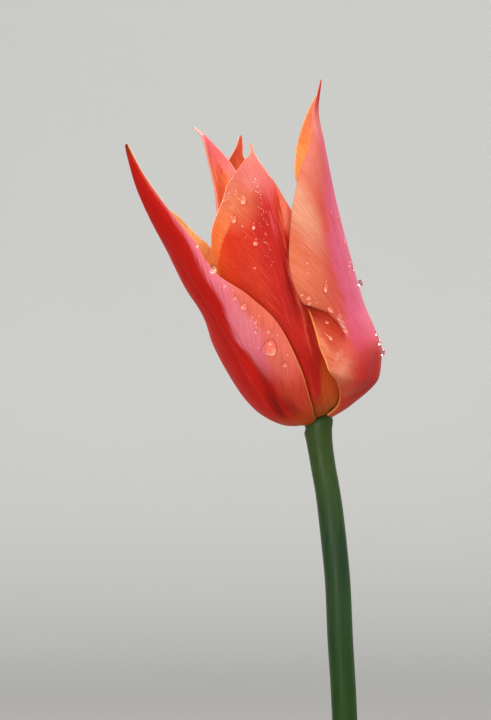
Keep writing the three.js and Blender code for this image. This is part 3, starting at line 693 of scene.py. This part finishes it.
def leafTissue(name, wax):
    # tulip leaf: waxed grey-green skin with close parallel veins
    material, tree = newMaterial(name)
    placeUv, across, along = uvMap(tree, "place")
    margin = uvMap(tree, "veins")[2]
    lines = veinLines(tree, placeUv, 1.122, 0.6, 0.4)
    grain = noise(tree, placeUv, (90, 5, 1), 4.0)
    waxCloud = noise(tree, placeUv, 9.0, 5.0, 0.65)
    colourNow = mixColour(tree, smoothStep(tree, grain, 0.3, 0.7), leafLook["blade"], leafLook["bladeTwo"])
    for factor, code, strength, blend in (
            (smoothStep(tree, waxCloud, 0.35, 0.75), "wax", wax, "MIX"),
            (smoothMm(tree, fromMiddle(tree, across), 1.4, 0.2), "midrib", 0.6, "MIX"),
            (smoothMm(tree, along, 20, 2), "base", 0.6, "MIX"),
            (smoothMm(tree, margin, 0.6, 0.1), "rim", 0.7, "MIX"),
            (lines, "veinShade", 0.35, "MULTIPLY")):
        colourNow = mixColour(tree, factor, colourNow, leafLook[code], strength, blend)
    bump = bumpFrom(tree, calculate(tree, "MULTIPLY_ADD", grain, 0.5, lines), 0.35, 0.18)
    rough = smoothStep(tree, waxCloud, 0.3, 0.8, 0.38, 0.58)
    finishMaterial(tree, addNode(tree, "BsdfPrincipled", {
        "IOR": 1.42, "Subsurface Weight": 0.15, "Subsurface Scale": 0.001,
        "Subsurface Radius": (0.4, 1.0, 0.25), "Sheen Weight": 0.12, "Sheen Roughness": 0.5,
        "Sheen Tint": "#dfeee4"}, {"Base Color": colourNow, "Roughness": rough, "Normal": bump}))
    return material


# line: height up the axis, reach out from it, half width and how far both halves roll in
leaves = {
    "leaf_lower": {
        "azimuth": 70, "root": (-7.62, 0, 131.0), "axis": (-0.0439, 0, 0.999), "waves": [(2.6, 0.0, -1.6)],
        "line": [(0, 3.9, 8, 117.5), (5, 3.9, 8, 117.5), (9, 4.9, 10, 110), (12.5, 7.5, 12, 90),
                 (17.5, 13.5, 14, 74), (21.5, 24, 15.6, 60), (21.8, 37, 16, 52), (17.5, 51, 15.2, 48),
                 (8, 66, 13, 46), (-5, 79, 9.6, 42), (-19, 88, 5.4, 34), (-30, 92.5, 0.4, 0)]},
    "leaf_upper": {
        "azimuth": -100, "root": (-8.16, 0, 143.0), "axis": (-0.0448, 0, 0.999), "waves": [(2.6, 0.0, -1.3)],
        "line": [(0, 3.9, 7.4, 108.7), (4.5, 3.9, 7.4, 108.7), (8.3, 5.4, 9.2, 98), (11.2, 10.2, 10.8, 78),
                 (12.4, 19, 12.2, 60), (11, 30, 12.6, 52), (6, 42, 11.6, 48), (-3, 53, 9.4, 44),
                 (-14, 61, 6.2, 38), (-26, 66, 2.6, 26), (-32, 67.5, 0.4, 0)]}}
leafMaterials = [leafTissue("leaf underside, waxed", 0.55), leafTissue("leaf upper face, waxed", 0.35),
                 leafTissue("leaf margin", 0.2)]
for name, leaf in leaves.items():
    leaf.update(stations=[(up, out, 0, half, half, roll, roll) for up, out, half, roll in leaf["line"]],
                pleats=[(0, 0, 10, 118, 1.0, 0.5), (-4, -2, 12, 110, 0.5, 0.12), (4, 2, 12, 110, 0.5, 0.12)],
                veinReach=0.01, veinStart=1.0, materials=leafMaterials)
    piece = raiseBlade(name + "_blade", leaf, 140, 20, thickness=0.7, rimShare=0.4)
    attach(piece, "root")
    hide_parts(name)
print("leaves raised")


# stem: a smooth round stalk that widens into the receptacle
stem = {
    # x, z and radius in mm up the stalk, then height and radius of the steps on the bloom's axis
    "line": [(-2.7, 8.3, 3.0), (-2.75, 9.6, 3.2), (-4.07, 42.87, 3.2), (-5.43, 77.43, 3.2), (-6.8, 112, 3.2),
             (-8.05, 141, 3.2), (-9.5, 171.5, 3.18), (-10.2, 183, 3.22), (-10.9, 198, 3.2), (-12.4, 213, 3.2),
             (-13.4, 220.5, 3.12), (-14.4, 226, 3.12), (-15.3, 231.8, 3.22), (-15.75, 235.2, 3.52)],
    "steps": [(-1.2, 3.62), (0.2, 3.6), (0.38, 3.4), (0.4, 2.6), (1.7, 2.55), (1.9, 2.3)],
    "rings": 90, "sides": 32,
    # colours from the cut end up to the bloom
    "colours": [(0.0, "#a8b47a"), (0.12, "#35551f"), (0.45, "#1b3a0c"), (0.62, "#162e09"), (0.8, "#1d360e"),
                (0.95, "#1e3420"), (1.0, "#33461c")],
    "rib": "#385424", "cloud": "#2e4a20"}


def ringTube(name, rings, sides, swell=None):
    # a cylinder cut into rings; each ring is given by its centre and its two half axes, in mm
    deselectAll()
    last = len(rings) - 1
    bpy.ops.mesh.primitive_cylinder_add(vertices=sides, radius=1, depth=2, end_fill_type="TRIFAN")
    piece = bpy.context.object
    piece.name = name
    bpy.ops.object.mode_set(mode="EDIT")
    for k in range(1, last):
        bpy.ops.mesh.select_all(action="SELECT")
        bpy.ops.mesh.bisect(plane_co=(0, 0, -1 + 2 * k / last), plane_no=(0, 0, 1))
    bpy.ops.object.mode_set(mode="OBJECT")
    for vertex in piece.data.vertices:
        x, y, z = vertex.co
        k = int(round((z + 1) / 2 * last))
        centre, first, second = rings[k]
        size = swell(k, math.atan2(y, x)) if swell else 1
        vertex.co = Vector((centre + first * (x * size) + second * (y * size)) * mm)
    bpy.ops.object.shade_smooth()
    return piece


def stemSkin():
    # tulip stalk: smooth green skin with a thin grey wax and faint lengthwise ribs
    material, tree = newMaterial("stem skin, waxed green")
    place = objectPlace(tree)
    ribs = noise(tree, place, (900, 900, 45), 3.0)
    cloud = noise(tree, place, 110.0, 4.0, 0.6)
    height = smoothStep(tree, addNode(tree, "SeparateXYZ", links={0: place}).outputs[2], 0.0, 0.24)
    colourNow = addNode(tree, "ValToRGB", {"stops": stem["colours"]}, {0: height})
    colourNow = mixColour(tree, smoothStep(tree, ribs, 0.35, 0.7), colourNow, stem["rib"], 0.3)
    colourNow = mixColour(tree, smoothStep(tree, cloud, 0.45, 0.75), colourNow, stem["cloud"], 0.14)
    rough = smoothStep(tree, cloud, 0.3, 0.7, 0.4, 0.55)
    bump = bumpFrom(tree, ribs, 0.3, 0.2)
    finishMaterial(tree, addNode(tree, "BsdfPrincipled", {
        "IOR": 1.42, "Specular IOR Level": 0.2, "Subsurface Weight": 0.1, "Subsurface Scale": 0.0012,
        "Subsurface Radius": (0.5, 1.0, 0.3), "Sheen Weight": 0.05, "Sheen Roughness": 0.5,
        "Sheen Tint": "#d8ead8"}, {"Base Color": colourNow, "Roughness": rough, "Normal": bump}))
    return material


stemTable = np.array(stem["line"])
knots = lengthKnots(stemTable[:, :2])
line = curveThrough(stemTable, knots, np.linspace(0, knots[-1], stem["rings"]))
slopes = np.gradient(line[:, :2], axis=0)
stations = [(np.array((x, 0, z)), unit(np.array((dx, 0, dz))), radius)
            for (x, z, radius), (dx, dz) in zip(line, slopes)]
stations += [(bloomRoot + bloomAxis * height, bloomAxis, radius) for height, radius in stem["steps"]]
rings = []
for centre, direction, radius in stations:
    side = unit(np.cross((0, 1, 0), direction))
    rings.append((centre, side * radius, np.cross(direction, side) * radius))
stalk = ringTube("stem_stalk", rings, stem["sides"])
stalk.data.materials.append(stemSkin())
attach(stalk, "root")
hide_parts("stem")
print("stem made")


# stamens and pistil inside the bloom
stamen = {
    "azimuths": [-47, 11, 70, 133, 193, 253], "groove": 0.28,
    # reach, height, half across and half round, in mm
    "filament": [(1.95, 2.2, 0.42, 0.6), (2.7, 3.3, 0.5, 0.75), (3.5, 4.6, 0.5, 0.75), (4.3, 6.5, 0.47, 0.68),
                 (4.9, 8.4, 0.42, 0.6), (5.4, 10.4, 0.36, 0.46), (5.7, 12.2, 0.24, 0.28)],
    "anther": [(5.72, 12.3, 0.25, 0.3), (5.78, 12.7, 0.62, 0.85), (5.9, 13.6, 0.85, 1.15),
               (6.3, 17, 0.92, 1.3), (6.6, 19.6, 0.92, 1.28), (6.9, 22, 0.86, 1.18), (7.2, 24.8, 0.66, 0.85),
               (7.4, 26.1, 0.3, 0.38)]}
pistil = {
    "azimuth": 30, "sides": 36, "stigmaFrom": 17.4,
    # height, radius and lobe share
    "rings": [(2.2, 1.1, 0), (2.6, 1.5, 0.03), (3.1, 1.75, 0.05), (4.2, 2.25, 0.07), (6, 2.5, 0.08),
              (9, 2.58, 0.08), (12, 2.55, 0.08), (14.5, 2.35, 0.08), (16, 2.15, 0.08), (16.8, 2.0, 0.1),
              (17.3, 2.3, 0.18), (17.8, 2.8, 0.26), (18.4, 3.15, 0.3), (18.9, 3.25, 0.3), (19.4, 3.0, 0.3),
              (19.8, 2.5, 0.28), (20.1, 1.7, 0.22), (20.25, 0.7, 0.1)]}


def organTube(name, azimuth, rows, sides, swell, *materials):
    # reach, height and half axes of each ring stand on the bloom's axis; a subdivision rounds the tube
    outward, along = growthFrame(bloomAxis, azimuth)
    rings = [(bloomRoot + bloomAxis * height + outward * reach, outward * a, along * b)
             for reach, height, a, b in rows]
    piece = ringTube(name, rings, sides, swell)
    rounder = piece.modifiers.new("rounder", "SUBSURF")
    rounder.levels = rounder.render_levels = 1
    applyModifiers(piece)
    for material in materials:
        piece.data.materials.append(material)
    return piece


def organTissue(name, first, second, size, relief, roughness, glow):
    # pollen and soft flower flesh: fine matte cells, their size in mm, of two near colours
    material, tree = newMaterial(name)
    place = objectPlace(tree)
    cells = addNode(tree, "TexVoronoi", {"Scale": 1000 / size}, {"Vector": place})
    colourNow = mixColour(tree, smoothStep(tree, noise(tree, place, 400.0, 3.0), 0.35, 0.65), first, second)
    colourNow = mixColour(tree, smoothStep(tree, cells, 0.1, 0.6), colourNow, second, 0.5)
    bump = bumpFrom(tree, cells, relief, 0.1)
    finishMaterial(tree, addNode(tree, "BsdfPrincipled", {
        "Roughness": roughness, "Subsurface Weight": glow, "Subsurface Scale": 0.001,
        "Subsurface Radius": (1.0, 0.8, 0.3)}, {"Base Color": colourNow, "Normal": bump}))
    return material


filamentFlesh = organTissue("filament flesh", "#e3c55a", "#c9b04a", 0.25, 0.25, 0.5, 0.2)
pollen = organTissue("anther with pollen", "#d79a2c", "#a8661c", 0.12, 0.8, 0.85, 0.05)
pistilFlesh = organTissue("pistil flesh", "#a9bd6c", "#c3cd86", 0.3, 0.25, 0.45, 0.25)
stigmaFlesh = organTissue("stigma, velvety", "#ece2a8", "#d9cf86", 0.12, 0.8, 0.7, 0.2)


def antherGroove(k, angle):
    # an anther has two lobes with a groove down each face
    return 1 - stamen["groove"] * abs(math.cos(angle)) ** 6


def pistilLobes(k, angle):
    return 1 + pistil["rings"][k][2] * math.cos(3 * angle)


for number, azimuth in enumerate(stamen["azimuths"], 1):
    filament = organTube(f"stamen_{number}_filament", azimuth, stamen["filament"], 12, None, filamentFlesh)
    anther = organTube(f"stamen_{number}_anther", azimuth, stamen["anther"], 16, antherGroove, pollen)
    piece = joinPieces([filament, anther], f"stamen_{number}_whole")
    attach(piece, "root")
    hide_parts(f"stamen_{number}")

rows = [(0, height, radius, radius) for height, radius, _ in pistil["rings"]]
ovary = organTube("pistil_whole", pistil["azimuth"], rows, pistil["sides"], pistilLobes,
                  pistilFlesh, stigmaFlesh)
for polygon in ovary.data.polygons:
    height = (np.array(polygon.center) / mm - bloomRoot) @ bloomAxis
    polygon.material_index = 1 if height > pistil["stigmaFrom"] else 0
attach(ovary, "root")
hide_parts("pistil")
print("stamens and pistil made")


# vase and water, turned on the vase's axis; radius and height in mm
vase = {
    "outside": [(27, 1.5), (30.5, 14), (32, 34), (29.4, 56), (21, 80), (14.3, 98), (12.8, 112), (13.5, 122),
                (15, 128.75)],
    "foot": [(0, 0.9), (20, 0.7), (22.6, 0), (25.2, 0), (26.2, 0.3), (26.8, 0.85)],
    # the rounded corner inside, by how far it stands in from the wall
    "corner": [(0.6, 9.3), (1.6, 8.35), (3.0, 8.0)],
    "wall": 2.5, "floor": 8, "wallFrom": 11.5, "water": 84, "turns": 96}


def turnProfile(name, profile):
    # a profile of edges is spun round the axis, closed at its seam and poles
    deselectAll()
    bpy.ops.mesh.primitive_circle_add(vertices=len(profile), radius=0.01, fill_type="NOTHING")
    piece = bpy.context.object
    piece.name = name
    for vertex, (r, z) in zip(piece.data.vertices, profile):
        vertex.co = (r * mm, 0, z * mm)
    bpy.ops.object.mode_set(mode="EDIT")
    bpy.ops.mesh.select_mode(type="EDGE")
    bpy.ops.mesh.select_all(action="DESELECT")
    bpy.ops.object.mode_set(mode="OBJECT")
    for edge in piece.data.edges:
        edge.select = max(piece.data.vertices[k].co.x for k in edge.vertices) < 1e-7
    bpy.ops.object.mode_set(mode="EDIT")
    bpy.ops.mesh.delete(type="EDGE_FACE")
    bpy.ops.mesh.select_all(action="SELECT")
    bpy.ops.mesh.spin(steps=vase["turns"], angle=2 * math.pi, center=(0, 0, 0), axis=(0, 0, 1))
    bpy.ops.mesh.select_all(action="SELECT")
    bpy.ops.mesh.remove_doubles(threshold=0.005 * mm)
    bpy.ops.mesh.normals_make_consistent(inside=False)
    bpy.ops.object.mode_set(mode="OBJECT")
    bpy.ops.object.shade_smooth()
    return piece


def lampsThrough(tree, body, steep):
    # clear pieces cast no black shadow: a lamp's light goes on through them, less where they turn away
    path = addNode(tree, "LightPath")
    facing = addNode(tree, "LayerWeight", {"Blend": 0.5})
    passed = addNode(tree, "ValToRGB", {"stops": [(0.0, "#ffffff"), (0.4, "#f2f2f2"), (1.0, steep)]},
                     {0: facing.outputs["Facing"]})
    clear = addNode(tree, "BsdfTransparent", links={"Color": passed})
    return addNode(tree, "MixShader", links={0: path.outputs["Is Shadow Ray"], 1: body, 2: clear})


def blownGlass():
    # clear soda-lime glass, blown and fire-polished: a faint grey-green body and slow ripples in its skin
    material, tree = newMaterial("blown soda-lime glass")
    slow = noise(tree, objectPlace(tree), 28.0, 1.0)
    tint = addNode(tree, "ValToRGB", {"stops": [(0.3, "#f4fbf8"), (0.7, "#fbfefd")]}, {0: slow})
    body = addNode(tree, "BsdfPrincipled", {"IOR": 1.51, "Roughness": 0.0, "Transmission Weight": 1.0},
                   {"Base Color": tint, "Normal": bumpFrom(tree, slow, 0.12, 0.6)})
    finishMaterial(tree, lampsThrough(tree, body, "#c8d0ce"))
    return material


def clearWater(name, steep, drop=False):
    # still clear water: no colour at this depth, only its bending of light; a drop also gets a painted dark
    # ring and painted light
    material, tree = newMaterial(name)
    slow = noise(tree, objectPlace(tree), 60.0, 1.0)
    tint = addNode(tree, "ValToRGB", {"stops": [(0.3, "#fafefe"), (0.7, "#ffffff")]}, {0: slow})
    if drop:
        # painted shade: a dark red ring at a drop's foot stands in for the light its edge bends away
        out, low = uvMap(tree, "drop")[1:]
        tint = mixColour(tree, smoothStep(tree, out, 0.78, 0.97), tint, steep, 0.7)
    body = addNode(tree, "BsdfPrincipled", {"IOR": 1.333, "Roughness": 0.0, "Transmission Weight": 1.0},
                   {"Base Color": tint})
    if drop:
        # painted light: a pale diffuse patch on its lower side stands in for the light the drop gathers there
        lower, inner = smoothStep(tree, low, 0.45, 0.85), smoothStep(tree, out, 0.88, 0.72)
        paintedCaustic = calculate(tree, "MULTIPLY", calculate(tree, "MULTIPLY", lower, inner), 0.45)
        paintedGlint = addNode(tree, "BsdfDiffuse", {"Color": "#ffdcc0"})
        body = addNode(tree, "MixShader", links={0: paintedCaustic, 1: body, 2: paintedGlint})
    finishMaterial(tree, lampsThrough(tree, body, steep))
    return material


spans = len(vase["outside"]) - 1
outline = curveThrough(np.array(vase["outside"]), range(spans + 1), np.arange(8 * spans + 1) / 8)
half = vase["wall"] / 2
lipX, lipZ = outline[-1] - (half, 0)
lip = [(lipX + half * math.cos(t), lipZ + half * math.sin(t)) for t in np.radians(range(15, 180, 15))]
inside = [(r - vase["wall"], z) for r, z in outline if z > vase["wallFrom"]]
corner = [(inside[0][0] - inset, z) for inset, z in vase["corner"]]
profile = vase["foot"] + [tuple(p) for p in outline] + lip + inside[::-1] + corner + [(0, vase["floor"])]
glassVase = turnProfile("vase_glass", profile)
glassVase.data.materials.append(blownGlass())
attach(glassVase, "root")
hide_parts("vase")

# the water reaches a hair into the glass, so that no air shows between them, and climbs 1.5 mm at the wall
level = vase["water"]
insideRadii, insideHeights = zip(*inside)
wallX, nearX = np.interp([level + 1.5, level], insideHeights, insideRadii)
surface = [(wallX + 0.05, level + 1.5), (wallX - 0.35, level + 0.8), (nearX - 1.1, level + 0.3),
           (nearX - 2.6, level + 0.05), (0, level)]
wet = [(r + 0.05, z) for r, z in inside if z < level - 1.5]
waterProfile = [(0, vase["floor"] - 0.05)] + [(r + 0.03, z - 0.05) for r, z in corner[::-1]] + wet + surface
water = turnProfile("vase_water", waterProfile)
water.data.materials.append(clearWater("still water", "#d8e0e0"))
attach(water, "root")
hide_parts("water")
print("vase and water turned")


# camera, at the photograph's viewing angle
view = {"place": (-0.0339, -0.5, 0.253), "lens": 100, "sensor": 36, "frame": (491, 720)}
cameraData = bpy.data.cameras.new("camera")
camera = bpy.data.objects.new("camera", cameraData)
scene.collection.objects.link(camera)
camera.location = view["place"]
camera.rotation_euler = (math.pi / 2, 0, 0)
cameraData.lens = view["lens"]
cameraData.sensor_fit = "VERTICAL"
cameraData.sensor_height = view["sensor"]
cameraData.clip_end = 50
scene.camera = camera


# water drops on the petals
# place, width and length in the photograph, height share, kind and turn; most are round and not turned
drops = [
    (243.6, 200, 7, 12, 0.3, "tear"), (234, 220, 7, 9, 0.32, "round", -15), (242.7, 226, 3, 3, 0.35),
    (253.7, 226, 5, 10, 0.28, "tear"), (255.6, 242, 7, 10, 0.32, "tear"), (245.7, 237.5, 2, 2, 0.4),
    (255, 267.5, 4, 4, 0.3), (237, 192, 2, 2, 0.4), (256, 191, 2.5, 2, 0.4), (251, 190, 2, 2, 0.4),
    (259, 207, 2, 2, 0.4), (212.6, 269.6, 7.5, 8, 0.4, "bead", -20), (225, 285.5, 5, 5, 0.5),
    (235.5, 297.7, 5, 5, 0.5, "round", 30), (244, 306.5, 8, 7, 0.28, "round", 30),
    (196.8, 245.8, 4.5, 4.5, 0.4, "bead"), (220, 287, 1.8, 1.8, 0.5), (268.3, 331.7, 5, 5, 0.32),
    (255.8, 322.3, 3.5, 4.5, 0.35), (259.4, 316, 2.4, 2.4, 0.4), (277.7, 334.6, 2, 2, 0.4),
    (272.8, 335.3, 2, 2, 0.4), (269.6, 348.7, 20, 18, 0.16, "pool", -35), (287.5, 354, 3.2, 3.6, 0.35),
    (284.8, 364.5, 6, 6, 0.32), (250, 344.6, 2.4, 2.4, 0.4), (258, 348, 2, 2, 0.4),
    (232.6, 314.3, 1.8, 1.8, 0.5), (255.4, 332, 4, 5, 0.2, "round", -30),
    (306.6, 263.3, 3.5, 5, 0.35, "tear"), (307.3, 273.7, 2, 2, 0.4), (301.8, 294.8, 5, 3.2, 0.4),
    (308.2, 298.2, 6.5, 4.8, 0.4), (309, 303.5, 6.5, 5, 0.35), (317, 302.4, 2.4, 2.4, 0.4),
    (325.5, 287, 5.5, 15, 0.2, "tear", 12), (330.3, 310, 9.5, 6.6, 0.3, "round", 30),
    (326.9, 322.2, 5, 5, 0.22), (328.8, 337, 5, 12, 0.15, "tear", -40), (337, 353, 3, 2, 0.3),
    (353.3, 269, 3, 3.5, 0.3, "bead"), (349.7, 261.8, 2.2, 2.4, 0.3, "bead"),
    (344.8, 241.8, 2.2, 2.4, 0.3, "bead"), (360, 283.6, 6, 6.5, 0.5, "bead"),
    (375.6, 333.9, 4, 4.5, 0.32, "bead"), (378.6, 343, 5, 6, 0.32, "bead"),
    (381.4, 352.7, 6, 7, 0.34, "bead")]
# a mist of tiny drops along lines in the photograph: line, how far it spreads, how many
mist = [
    ([(252, 168), (258, 186), (263, 212), (266, 236), (271, 262)], 4.5, 46),
    ([(232, 190), (240, 205), (236, 232)], 8, 10), ([(226, 288), (246, 312), (262, 336)], 3.5, 12),
    ([(332, 200), (345, 250), (352, 280)], 4, 14)]
sprinkle = np.random.default_rng(7)
for line, spread, count in mist:
    for place in sprinkle.random(count) * (len(line) - 1):
        (x0, y0), (x1, y1) = line[int(place)], line[int(place) + 1]
        part = place - int(place)
        dx, dy = sprinkle.normal(0, spread / 2, 2)
        size = 1.3 + 1.3 * sprinkle.random() ** 2
        drops.append((x0 + (x1 - x0) * part + dx, y0 + (y1 - y0) * part + dy, size, size, 0.45))
dropLook = {
    # how far a drop beyond a petal's edge is looked for, to the left, in the photograph's pixels
    "search": 9, "searchStep": 0.25,
    # height of a dome for its share; in mm, how deep the feet of domes and beads lie in the skin, and how far
    # away it may be for a foot to follow it
    "dome": 2.6, "sink": 0.06, "beadSink": 0.1, "follow": 0.9,
    # how far a pool reaches all round, from its right side
    "pool": [1.0, 0.92, 0.86, 0.95, 1.08, 0.96, 0.84, 0.82, 0.9, 1.0, 1.12, 1.0, 0.86, 0.82, 0.86, 0.95],
    # where the painted light lies from top to bottom: offset and share; small drops have more of it
    "light": {"pool": (0, 0.86), "bead": (0.2, 0.8), "tear": (0, 1), "round": (0, 1)},
    "smallWidth": 3, "smallLight": (0.28, 0.62), "smallRing": 0.93}
cameraPlace = Vector(view["place"])
focalPixels = view["frame"][1] * view["lens"] / view["sensor"]
petalTrees = [BVHTree.FromPolygons([v.co.copy() for v in petal["piece"].data.vertices],
                                   [tuple(p.vertices) for p in petal["piece"].data.polygons])
              for petal in petals.values()]


def firstHit(px, py):
    # the petal that shows at a place of the photograph, by a ray from the camera
    across, up = px - view["frame"][0] / 2, view["frame"][1] / 2 - py
    direction = Vector((across / focalPixels, 1, up / focalPixels)).normalized()
    hits = []
    for tree in petalTrees:
        place, normal, _, distance = tree.ray_cast(cameraPlace, direction)
        if place:
            hits.append((distance, place, -normal if normal.dot(direction) > 0 else normal, tree))
    return min(hits, key=lambda hit: hit[0], default=None), direction


def setDrop(number, px, py, width, length, share, kind="round", turn=0):
    # a drop is dented to the petal it sits on: its foot follows the skin, its dome stands off it
    hit, direction = firstHit(px, py)
    shift = 0.0
    while hit is None and shift < dropLook["search"]:
        shift += dropLook["searchStep"]
        hit, direction = firstHit(px - shift, py)
    if hit is None:
        print("drop without a petal:", px, py)
        return None
    distance, place, normal, tree = hit
    pixel = distance / focalPixels * abs(direction.y)
    halfWidth, halfLength = width / 2 * pixel, length / 2 * pixel
    smaller = min(halfWidth, halfLength)
    down = Vector((0, 0, -1))
    down = (down - normal * down.dot(normal)).normalized()
    side = down.cross(normal).normalized()
    c, s = math.cos(math.radians(turn)), math.sin(math.radians(turn))
    down, side = down * c + side * s, side * c - down * s
    deselectAll()
    segments, rings = (32, 16) if width > 4 else (16, 8)   # small drops need fewer faces
    bpy.ops.mesh.primitive_uv_sphere_add(segments=segments, ring_count=rings, radius=1)
    bead = bpy.context.object
    bead.name = f"drop_{number}"
    out = np.array([math.hypot(v.co.x, v.co.y) for v in bead.data.vertices])
    low = np.array([(v.co.y + 1) / 2 for v in bead.data.vertices])
    low = dropLook["light"][kind][0] + dropLook["light"][kind][1] * low
    if width < dropLook["smallWidth"]:
        low = dropLook["smallLight"][0] + dropLook["smallLight"][1] * low
        out = out * dropLook["smallRing"]
    writeUv(bead.data, "drop", out, low)
    pool = dropLook["pool"]
    for vertex in bead.data.vertices:
        x, y, z = vertex.co
        u, v = x * halfWidth, y * halfLength
        if kind == "pool":
            around = math.atan2(y, x) / (2 * math.pi) * len(pool) % len(pool)
            k = int(around)
            reach = pool[k] + (pool[(k + 1) % len(pool)] - pool[k]) * (around - k)
            u, v = u * reach, v * reach
        if kind == "tear":
            # narrow at its upper end
            u *= 0.55 + 0.45 * min(1, max(0, (y + 1) / 1.2)) ** 0.8
        point = place + side * u + down * v
        if kind == "bead":
            # nearly a whole ball, standing on a small foot
            vertex.co = point + normal * (share * 2 * smaller * (1 + z) - dropLook["beadSink"] * mm)
            continue
        foot, footNormal, _, gap = tree.find_nearest(point)
        if gap > dropLook["follow"] * mm or abs(footNormal.dot(normal)) < 0.3:
            # past the petal's edge the foot stays flat
            foot = point
        rise = share * dropLook["dome"] * smaller * max(z, 0) ** 0.85
        if z <= 0:
            rise = -dropLook["sink"] * mm * (1 - math.hypot(x, y) * 0.2)
        vertex.co = foot + normal * rise
    bpy.ops.object.shade_smooth()
    return bead


beads = [setDrop(number, *drop) for number, drop in enumerate(drops)]
beads = [bead for bead in beads if bead]
dropPiece = joinPieces(beads, "water_drops")
dropPiece.data.materials.append(clearWater("dew drop", "#a83220", drop=True))
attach(dropPiece, "root")
print("drops set:", len(beads))


# stage: a pale floor that rises all round, and soft lamps; sizes in metres
studio = {
    "floorRadius": 1.1, "riseRadius": 1.3, "wallHeight": 1.7, "floor": "#8b8a87", "wall": "#e6e4e0",
    "fibre": "#c4c2be", "air": "#e6ebf0", "airStrength": 0.72, "lampSpread": 70,
    # where they look, and the place, size, watts and colour of each
    "bloom": (-0.02, 0, 0.22), "behind": (0, 2.4, 0.5),
    "lamps": {"key": ((0.5, -0.95, 1.4), 0.9, 2.9, "#fff6ee"),
              "front": ((-0.4, -1.35, 0.22), 0.8, 2.5, "#ffffff"),
              "backLeft": ((-0.75, 1.0, 0.9), 0.7, 5.0, "#fff6ec"),
              "backRight": ((0.6, 1.1, 1.1), 0.7, 4.5, "#fff6ec"),
              "top": ((0.2, 0.0, 1.4), 0.7, 0.6, "#ffffff"),
              "backdrop": ((0.0, 0.9, 2.1), 1.0, 7.5, "#ffffff")}}
floorRadius, riseRadius = studio["floorRadius"], studio["riseRadius"]
bowl = [(r, 0) for r in (0.3, 0.6, 0.9, floorRadius)]
for k in range(1, 17):
    t = math.radians(90 * k / 16)
    bowl.append((floorRadius + riseRadius * math.sin(t), riseRadius * (1 - math.cos(t))))
bowl.append((floorRadius + riseRadius, studio["wallHeight"]))
deselectAll()
bpy.ops.mesh.primitive_circle_add(vertices=96, radius=bowl[0][0], fill_type="NGON")
floor = bpy.context.object
floor.name = "studio_floor"
bpy.ops.object.mode_set(mode="EDIT")
bpy.ops.mesh.select_mode(type="EDGE")
bpy.ops.mesh.select_all(action="SELECT")
bpy.ops.mesh.region_to_loop()
for (fromRadius, fromHeight), (toRadius, toHeight) in zip(bowl, bowl[1:]):
    bpy.ops.mesh.extrude_edges_move()
    growth = toRadius / fromRadius
    bpy.ops.transform.resize(value=(growth, growth, 1), center_override=(0, 0, 0))
    bpy.ops.transform.translate(value=(0, 0, toHeight - fromHeight))
bpy.ops.mesh.select_all(action="SELECT")
bpy.ops.mesh.normals_make_consistent(inside=True)
bpy.ops.object.mode_set(mode="OBJECT")
bpy.ops.object.shade_smooth()
# studio paper: matte, with a faint fibre, darker under the vase than up the wall
floorMaterial, floorTree = newMaterial("studio paper, matte")
paper = objectPlace(floorTree)
reachOut = addNode(floorTree, "VectorMath", {"operation": "LENGTH"}, {0: paper}).outputs[1]
paperColour = mixColour(floorTree, smoothStep(floorTree, reachOut, 0.3, 1.9), studio["floor"], studio["wall"])
paperColour = mixColour(floorTree, noise(floorTree, paper, 6.0, 3.0), paperColour, studio["fibre"], 0.08)
finishMaterial(floorTree, addNode(floorTree, "BsdfPrincipled", {"Roughness": 0.9, "Specular IOR Level": 0.2},
                                  {"Base Color": paperColour}))
floor.data.materials.append(floorMaterial)

for name, (place, size, watts, code) in studio["lamps"].items():
    aim = Vector(studio["behind" if name == "backdrop" else "bloom"])
    lampData = bpy.data.lights.new(name, "AREA")
    lampData.shape = "DISK"
    lampData.size = size
    lampData.energy = watts
    if name != "backdrop":
        lampData.spread = math.radians(studio["lampSpread"])   # keeps the lamp off the backdrop
    lampData.color = linearColour(code)[:3]
    lamp = bpy.data.objects.new(name, lampData)
    scene.collection.objects.link(lamp)
    lamp.location = place
    lamp.rotation_euler = (aim - Vector(place)).to_track_quat("-Z", "Y").to_euler()
world = bpy.data.worlds.new("studio air")
world.use_nodes = True
air = world.node_tree.nodes["Background"]
air.inputs[0].default_value = linearColour(studio["air"])
air.inputs[1].default_value = studio["airStrength"]
scene.world = world
scene.view_settings.view_transform = "Standard"
print("stage and lamps set")

deselectAll()
